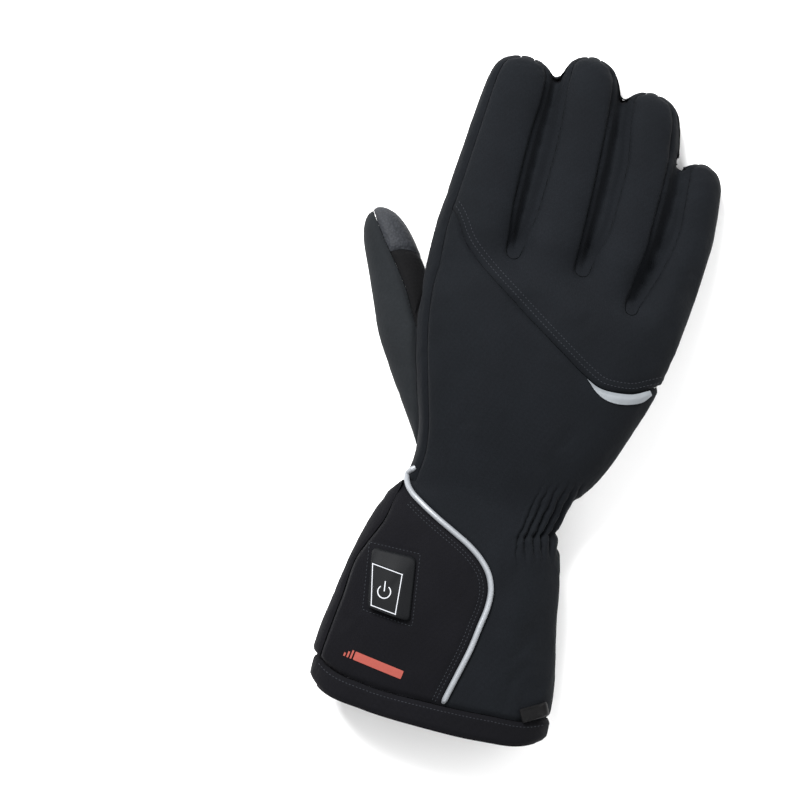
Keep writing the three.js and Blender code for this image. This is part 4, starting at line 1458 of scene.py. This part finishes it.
class GLOVE_OT_thumb(bpy.types.Operator):
    """Build the thumb: its back, its inner face and its grained tip"""

    bl_idname = "glove.thumb"
    bl_label = "Thumb"

    def execute(self, context):
        gap = sizes().gap
        grown = swollen(part("hand_skin"), gap)
        mark(grown, CUT)
        outwards = direction_field(part("thumb_skin"))
        shell = minus(part("thumb_skin"), part("hollow"), grown)
        inner = minus(shell, thumb_back_zone(gap))
        made = [
            ("thumb_back", inside(shell, thumb_back_zone()), "thumb_shell", "softshell_thumb"),
            ("touch_patch_thumb", inside(inner, thumb_patch_zone()), "touch_grain", "grained_leatherette"),
            ("thumb_front", minus(inner, thumb_patch_zone(gap)), "palm_cloth", "synthetic_suede"),
        ]
        for number, (name, obj, slot, material) in enumerate(made):
            draw_in(obj, outwards, seed=41 + number)
            finish_piece(obj, "padded_" + name, [name], lined(material))
        return {"FINISHED"}


# Trim that lies on the finished panels


def faces_of(*objects):
    """The faces of some objects, for dropping trim onto."""
    bm = bmesh.new()
    for obj in objects:
        bm.from_mesh(obj.data)
    tree = BVHTree.FromBMesh(bm)
    bm.free()
    return tree


def surface(*names):
    return faces_of(*(part(name) for name in names))


def drop(tree, x, y, side=1):
    """Where an upright line meets a surface first, from above or below, and its direction there."""
    spot, normal, _, _ = tree.ray_cast(Vector((x, y, side * FAR)), Vector((0, 0, -side)))
    return spot, normal


def tube(name, path, radius, sides=12):
    """A round cord along a path."""
    path = np.array(path)
    along = np.gradient(path, axis=0)
    along /= np.linalg.norm(along, axis=1)[:, None]
    across = np.cross(along, (0, 0, 1))
    across /= np.linalg.norm(across, axis=1)[:, None]
    up = np.cross(across, along)
    turn = np.linspace(0, 2 * math.pi, sides, endpoint=False)
    rings = []
    for number, centre in enumerate(path):
        ends = min(number, len(path) - 1 - number)
        size = radius * (0.7, 0.95, 1)[min(ends, 2)]
        ring = np.cos(turn)[:, None] * across[number] + np.sin(turn)[:, None] * up[number]
        rings.append(centre + size * ring)
    return loft(name, rings)


def arc_point(start, corner, end, share):
    """A point on the arc that rounds a corner."""
    return (1 - share) ** 2 * start + 2 * share * (1 - share) * corner + share**2 * end


def rounded(corners, radius, steps=5):
    """The outline of a shape with straight sides, its corners rounded."""
    corners = np.array(corners, float)
    outline = []
    for before, corner, after in zip(np.roll(corners, 1, 0), corners, np.roll(corners, -1, 0)):
        start = corner + radius * (before - corner) / np.linalg.norm(before - corner)
        end = corner + radius * (after - corner) / np.linalg.norm(after - corner)
        outline += [arc_point(start, corner, end, share) for share in np.linspace(0, 1, steps + 1)]
    return np.array(outline)


def moulded(name, foot, face, levels, tree, radii):
    """A moulded block on a surface. Each level says how far from foot to face its outline is, how high it
    stands and how far it is spread from the middle. The corners' radii are those of foot and face."""
    foot, face = np.array(foot, float), np.array(face, float)
    middle = face.mean(axis=0)
    rings = []
    for share, lift, spread in levels:
        corners = foot + (face - foot) * share
        corners = middle + (corners - middle) * spread
        radius = radii[0] + (radii[1] - radii[0]) * share
        outline = round_trip(rounded(corners, radius * min(spread, 1)), 72)
        ring = []
        for x, y in outline:
            spot, _ = drop(tree, x, y)
            ring.append((x, y, spot.z + lift * MM))
        rings.append(ring)
    return loft(name, rings)


def round_trip(outline, count):
    """A closed outline as that many points, evenly spaced."""
    closed = np.concatenate([outline, outline[:1]])
    run = run_along(closed)
    return spread_out(closed, run, np.linspace(0, run[-1], count, endpoint=False))


def ribbon(path, width, tree):
    """A thin printed line on a surface."""
    low, high = -0.1 * MM, 0.06 * MM
    path = np.array(path, float)
    left, right = beside(path, width / 2), beside(path, -width / 2)
    rings = []
    for number in range(len(path)):
        spot, _ = drop(tree, *path[number])
        bottom, top = spot.z + low, spot.z + high
        (lx, ly), (rx, ry) = left[number], right[number]
        rings.append([(lx, ly, bottom), (rx, ry, bottom), (rx, ry, top), (lx, ly, top)])
    return loft("ribbon", rings)


def evenly(points, step):
    """A line in the plan, with a point at about every step."""
    points = np.array(points, float)
    run = run_along(points)
    return spread_out(points, run, np.linspace(0, run[-1], max(int(run[-1] / step), 1) + 1))


def spread_out(points, run, wanted):
    """Points of a line at the wanted lengths along it."""
    return np.stack([np.interp(wanted, run, points[:, axis]) for axis in range(2)], axis=1)


def overlay(skin, low, high):
    """A shell over a skin, out of which flat trim is cut."""
    top = swollen(skin, high)
    return minus(top, swollen(skin, low))


def follow_seam(obj, line, outwards):
    """Lets trim that ends at a seam go down into its valley."""
    d = details()
    points = read(obj.data)
    sink = d.seam_depth * valley(plan_distance(points, line), d.seam_width)
    write(obj.data, points - outwards(points) * sink[:, None])


# The crescent's ends along the knuckle seam, and its lower corner at the glove's edge
CRESCENT_ENDS = (0.172, 0.43)
CRESCENT_CORNER = (0.438, 0.6)


class GLOVE_OT_piping(bpy.types.Operator):
    """Build the pale piping round the pocket and the reflective crescent at the knuckle seam"""

    bl_idname = "glove.piping"
    bl_label = "Piping and crescent"

    def execute(self, context):
        s, d = sizes(), details()
        skin = part("hand_skin")
        tree = surface("hand_skin")
        line = [point for point in evenly(piping_line(), 1.2 * MM) if point[1] > 0.5 * s.hem_depth]
        path = [(x, y, drop(tree, x, y)[0].z + 0.55 * MM) for x, y in line]
        path[0] = (*path[0][:2], path[0][2] - 1.2 * MM)
        path[-1] = (*path[-1][:2], path[-1][2] - 1.2 * MM)
        piping = tube("piping", path, d.piping_radius)
        finish_piece(piping, "reflective_piping", ["piping"], [finish("reflective_piping")])

        seam = knuckle_line()
        left, right = (hand_point(across, 0)[0] for across in CRESCENT_ENDS)
        upper = [(x, y) for x, y in beside(seam, -0.5 * MM) if left < x < right]
        lower = smooth_line([hand_point(row["across"], row["along"]) for row in CRESCENT_LOW])
        lower = np.concatenate([lower, [hand_point(*CRESCENT_CORNER)]])
        lower = [(x, y) for x, y in lower if y < np.interp(x, seam[:, 0], seam[:, 1]) - 0.9 * MM]
        outline = column([*lower, *upper[::-1]], 15 * MM, FAR)
        crescent = inside(overlay(skin, 0.15 * MM, 0.55 * MM), outline)
        follow_seam(crescent, seam, direction_field(skin))
        tape = [finish("glass_bead_tape")]
        finish_piece(crescent, "crescent_tape", ["reflective_crescent"], tape)
        return {"FINISHED"}


# Corners of the switch and of its printed frame, and the middle of its sign, in the pattern
BUTTON_FOOT = np.array([(-43.5, 64), (-24, 64.6), (-20, 37), (-39.2, 38.7)]) * MM
BUTTON_FACE = np.array([(-42.7, 58.6), (-27.3, 57.2), (-25.7, 37.4), (-39, 38.9)]) * MM
BUTTON_FRAME = np.array([(-41.7, 57.5), (-28.1, 56.2), (-26.7, 38.8), (-37.8, 39.9)]) * MM
SYMBOL = np.array((-33.8, 47)) * MM


class GLOVE_OT_button(bpy.types.Operator):
    """Build the silicone switch with its printed frame and power sign"""

    bl_idname = "glove.button"
    bl_label = "Switch"

    def execute(self, context):
        tree = surface("pocket_skin")
        levels = (
            (0, -2.5, 1),
            (0, 0.6, 1.02),
            (0, 1.3, 1),
            (0.05, 1.75, 1),
            (0.14, 2.0, 1),
            (0.9, 3.2, 1),
            (0.97, 3.35, 1),
            (1, 3.4, 0.97),
            (1, 3.36, 0.93),
            (1, 3.34, 0.7),
            (1, 3.32, 0.4),
            (1, 3.3, 0.1),
        )
        button = moulded("button", BUTTON_FOOT, BUTTON_FACE, levels, tree, (2.6 * MM, 1.2 * MM))
        face = faces_of(button)
        silicone = [finish("moulded_silicone")]
        finish_piece(button, "silicone_button", ["power_button"], silicone, angle=50)

        frame_line = []
        for start, end in zip(BUTTON_FRAME, np.roll(BUTTON_FRAME, -1, 0)):
            over = 0.25 * MM * (end - start) / np.linalg.norm(end - start)
            frame_line.append(evenly([start - over, end + over], 1.5 * MM))
        lines = [ribbon(line, FRAME_LINE, face) for line in frame_line]
        upright = math.pi / 2 + SYMBOL_TURN
        arc = np.linspace(upright + SYMBOL_GAP, upright + 2 * math.pi - SYMBOL_GAP, 40)
        circle = [SYMBOL + SYMBOL_RADIUS * np.array((math.cos(angle), math.sin(angle))) for angle in arc]
        up = np.array((math.cos(upright), math.sin(upright)))
        stem = evenly([SYMBOL + 0.2 * MM * up, SYMBOL + 4.6 * MM * up], MM)
        lines += [ribbon(line, SYMBOL_LINE, face) for line in (circle, stem)]
        finish_piece(gathered("print", lines), "button_print", [], [finish("pad_print")])
        return {"FINISHED"}


def slanted(x, y, width, height, angle):
    """The corners of a rectangle that stands on a point and is turned about it."""
    cos, sin = math.cos(angle), math.sin(angle)
    corners = ((0, 0), (width, 0), (width, height), (0, height))
    return [(x + u * cos - v * sin, y + u * sin + v * cos) for u, v in corners]


BADGE_TURN = math.radians(-7.5)
BAR_WIDTH = 0.8 * MM
BAR_PITCH = 1.5 * MM
LABEL_SIZE = (22.5 * MM, 3.8 * MM)


class GLOVE_OT_badge(bpy.types.Operator):
    """Build the heat badge: three rising bars and a bare label bar"""

    bl_idname = "glove.badge"
    bl_label = "Heat badge"

    def execute(self, context):
        s = sizes()
        shell = overlay(part("pocket_skin"), 0.05 * MM, 0.4 * MM)
        x, y = -0.405 * s.mouth_width, s.hem_depth + 3.4 * MM

        def block(number, width, height):
            along = number * BAR_PITCH
            foot = (x + along * math.cos(BADGE_TURN), y + along * math.sin(BADGE_TURN))
            return slanted(*foot, width, height, BADGE_TURN)

        shapes = []
        for number, name in enumerate(("low", "mid", "high")):
            tall = LABEL_SIZE[1] * (0.4 + 0.3 * number)
            shapes.append((name, "heat_bar_" + name, block(number, BAR_WIDTH, tall)))
        shapes.append(("label", "heat_label_bar", rounded(block(3, *LABEL_SIZE), 0.5 * MM)))
        for name, node, outline in shapes:
            piece = inside(shell, column(outline, 20 * MM, FAR))
            finish_piece(piece, "badge_" + name, [node], [finish("transfer_film")])
        return {"FINISHED"}


TAG_SIZE = np.array((12.6, 6.2)) * MM
TAG_TURN = math.radians(28)


class GLOVE_OT_tag(bpy.types.Operator):
    """Build the bare rubber tag at the hem"""

    bl_idname = "glove.tag"
    bl_label = "Tag"

    def execute(self, context):
        s = sizes()
        tree = faces_of(swollen(part("hand_skin"), HEM_LIFT))
        middle = np.array((0.395 * s.mouth_width, s.hem_depth))
        foot = np.array(slanted(0, 0, *TAG_SIZE, TAG_TURN))
        foot += middle - foot.mean(axis=0)
        face = middle + (foot - middle) * 0.9
        levels = (
            (0, -0.8, 1),
            (0, 0.9, 1),
            (0.5, 1.35, 1),
            (1, 1.4, 1),
            (1, 1.4, 0.92),
            (1, 1.15, 0.86),
            (1, 1.15, 0.5),
            (1, 1.15, 0.1),
        )
        tag = moulded("tag", foot, face, levels, tree, (0.9 * MM, 0.9 * MM))
        finish_piece(tag, "rubber_tag", ["label_tag"], [finish("moulded_rubber_tag")], angle=50)
        return {"FINISHED"}


class GLOVE_OT_grip(bpy.types.Operator):
    """Print the grip lines on the palm"""

    bl_idname = "glove.grip"
    bl_label = "Grip print"

    def execute(self, context):
        shell = overlay(part("hand_skin"), 0.1 * MM, 0.6 * MM)
        lines = []
        for row in GRIP:
            start, corner, end = (hand_point(row["x" + key], row["y" + key]) for key in "123")
            start, corner, end = (np.array(point) for point in (start, corner, end))
            before, after = 0.8 * corner + 0.2 * start, 0.8 * corner + 0.2 * end
            bend = [arc_point(before, corner, after, share) for share in np.linspace(0, 1, 6)]
            path = np.array([start, *bend, end])
            left, right = beside(path, GRIP_LINE / 2), beside(path, -GRIP_LINE / 2)
            lines.append(column([*left, *right[::-1]], -FAR, 24 * MM))
        grip = inside(shell, gathered("grip", lines))
        nodes = [f"grip_line_{number:02d}" for number in range(1, len(GRIP) + 1)]
        finish_piece(grip, "grip_print", nodes, [finish("printed_silicone")])
        return {"FINISHED"}


def sewn(name, lines, tree, side):
    """Topstitches along lines in the plan: one short thread after another, half sunk in the cloth."""
    d = details()
    move = shift()
    half = 0.5 * d.stitch_length / d.stitch_pitch
    bm = bmesh.new()
    for line in lines:
        dots = evenly(line, d.stitch_pitch)
        for start, end in zip(dots, dots[1:]):
            ends = []
            for share in (0.5 - half, 0.5 + half):
                x, y = start + (end - start) * share
                ends.append(drop(tree, x + move.x, y + move.y, side))
            (first, up), (last, _) = ends
            if first is None or last is None or (last - first).length > 1.6 * d.stitch_length:
                continue
            along = (last - first).normalized()
            across = up.cross(along).normalized()
            up = along.cross(across)
            place = Matrix((across, along, up)).transposed().to_4x4()
            place.translation = (first + last) / 2 - move + up * 0.2 * d.thread
            size = Matrix.Diagonal((d.thread / 2, (last - first).length / 2, d.thread / 2, 1))
            bmesh.ops.create_uvsphere(bm, u_segments=8, v_segments=6, radius=1, matrix=place @ size)
    return from_bmesh(name, bm)


class GLOVE_OT_stitches(bpy.types.Operator):
    """Sew the rows of topstitches on the back, the pocket, the hem, the flap and the palm"""

    bl_idname = "glove.stitches"
    bl_label = "Topstitches"

    def execute(self, context):
        back = surface("padded_finger_back_panel", "padded_hand_back_panel")
        pocket = surface("padded_pocket_panel")
        hem = surface("padded_hem_band")
        under = surface("padded_closure_flap")
        palm = surface("padded_palm_panel")
        seam = [(x, y - 2 * MM) for x, y in hem_line("seam")]
        left, right, foot, top, _ = flap_frame()
        margin = 3 * MM
        edge, start = right - margin, left + 4 * MM
        tab = [(start, foot + margin), (edge, foot + margin), (edge, top - 10.5 * MM)]
        tab += [(edge - 6 * MM, top - 5 * MM), (start, top - 3.2 * MM)]
        fold = [(left + 11 * MM, foot + 3.5 * MM), (left + 11 * MM, top - 4 * MM)]
        heel = [hand_point(0.01, 0.08), hand_point(0.31, 0.08)]
        sewing = (
            ("stitches_knuckle", knuckle_rows(), back, 1, "soft_shell"),
            ("stitches_pocket", pocket_rows(), pocket, 1, "cuff_shell"),
            ("stitches_hem_top", [seam], hem, 1, "hem_cloth"),
            ("stitches_hem_under", [seam], hem, -1, "hem_cloth"),
            ("stitches_flap", [tab, fold], under, -1, "cuff_shell"),
            ("stitches_heel", [heel], palm, -1, "palm_cloth"),
        )
        for name, lines, tree, side, slot in sewing:
            finish_piece(sewn(name, lines, tree, side), name, [], [finish("sewing_thread")])
        return {"FINISHED"}


FLOOR_DROP = 0.35 * MM  # the threads under the flap reach below the table's height
CAMERA_HEIGHT = 2.2
VIEW_WIDTH = 352 * MM  # what the camera sees across, at the level of most of the glove's edges
VIEW_LEVEL = 22 * MM
VIEW_CENTRE = (-48.0 * MM, 129.4 * MM)
VIEW_TURN = math.radians(14.5)
SENSOR = 36
LAMPS = rows(
    "name spot size power",
    ("key", (-0.75, 0.85, 1.25), 0.8, 112),
    ("fill", (0.9, 0.3, 1.2), 1.2, 20),
    ("foot", (0.1, -1.1, 1.0), 1.0, 12),
)


class GLOVE_OT_stage(bpy.types.Operator):
    """Set up the floor, the lights and the camera"""

    bl_idname = "glove.stage"
    bl_label = "Stage"

    def execute(self, context):
        bm = bmesh.new()
        bmesh.ops.create_grid(bm, x_segments=2, y_segments=2, size=6)
        mesh = bpy.data.meshes.new("floor")
        bm.to_mesh(mesh)
        bm.free()
        floor = bench("floor", mesh, keep=True)
        floor.location.z = -FLOOR_DROP
        paper, _, shader, _ = new_material("matt_paper", **{"Roughness": 0.9})
        shader.inputs["Base Color"].default_value = (*linear("#FAFAFA"), 1)
        mesh.materials.append(paper)

        data = bpy.data.cameras.new("camera")
        data.sensor_width = SENSOR
        data.lens = SENSOR * (CAMERA_HEIGHT - VIEW_LEVEL) / VIEW_WIDTH
        camera = bpy.data.objects.new("camera", data)
        camera.location = Vector((*VIEW_CENTRE, CAMERA_HEIGHT)) + shift()
        camera.rotation_euler = (0, 0, VIEW_TURN)
        context.scene.collection.objects.link(camera)
        context.scene.camera = camera

        for row in LAMPS:
            light = bpy.data.lights.new(row["name"], "AREA")
            light.size = row["size"]
            light.energy = row["power"]
            lamp = bpy.data.objects.new(row["name"], light)
            lamp.location = row["spot"]
            lamp.rotation_euler = (-lamp.location).to_track_quat("-Z", "Y").to_euler()
            context.scene.collection.objects.link(lamp)
        context.scene.view_settings.view_transform = "Standard"
        context.scene.view_settings.exposure = -0.35
        world = bpy.data.worlds.new("studio")
        context.scene.world = world
        world.use_nodes = True
        world.node_tree.nodes["Background"].inputs["Color"].default_value = (1, 1, 1, 1)
        world.node_tree.nodes["Background"].inputs["Strength"].default_value = 0.56
        return {"FINISHED"}


class GLOVE_PT_panel(bpy.types.Panel):
    """Lists the steps that build the glove, with its sizes and colours"""

    bl_idname = "GLOVE_PT_panel"
    bl_label = "Heated Glove"
    bl_space_type = "VIEW_3D"
    bl_region_type = "UI"
    bl_category = "Glove"

    def draw(self, context):
        for step in STEPS:
            self.layout.operator(step.bl_idname)
        for name in ("glove_sizes", "glove_details", "glove_finishes"):
            group = getattr(context.scene, name)
            box = self.layout.box()
            for key in group.__annotations__:
                box.prop(group, key)


STEPS = (
    GLOVE_OT_forms,
    GLOVE_OT_panels,
    GLOVE_OT_pocket,
    GLOVE_OT_flap,
    GLOVE_OT_thumb,
    GLOVE_OT_piping,
    GLOVE_OT_button,
    GLOVE_OT_badge,
    GLOVE_OT_tag,
    GLOVE_OT_grip,
    GLOVE_OT_stitches,
    GLOVE_OT_stage,
)
CLASSES = (GloveSizes, GloveDetails, GloveFinishes, *STEPS, GLOVE_PT_panel)


def register():
    for item in CLASSES:
        bpy.utils.register_class(item)
    bpy.types.Scene.glove_sizes = PointerProperty(type=GloveSizes)
    bpy.types.Scene.glove_details = PointerProperty(type=GloveDetails)
    bpy.types.Scene.glove_finishes = PointerProperty(type=GloveFinishes)


def unregister():
    for name in ("glove_finishes", "glove_details", "glove_sizes"):
        delattr(bpy.types.Scene, name)
    for item in reversed(CLASSES):
        bpy.utils.unregister_class(item)


def clear_bench():
    for obj in [obj for obj in bpy.data.objects if obj.get("on_bench")]:
        bpy.data.objects.remove(obj)


def main():
    register()
    for step in STEPS:
        group, name = step.bl_idname.split(".")
        getattr(getattr(bpy.ops, group), name)()
    clear_bench()


if __name__ == "__main__":
    main()
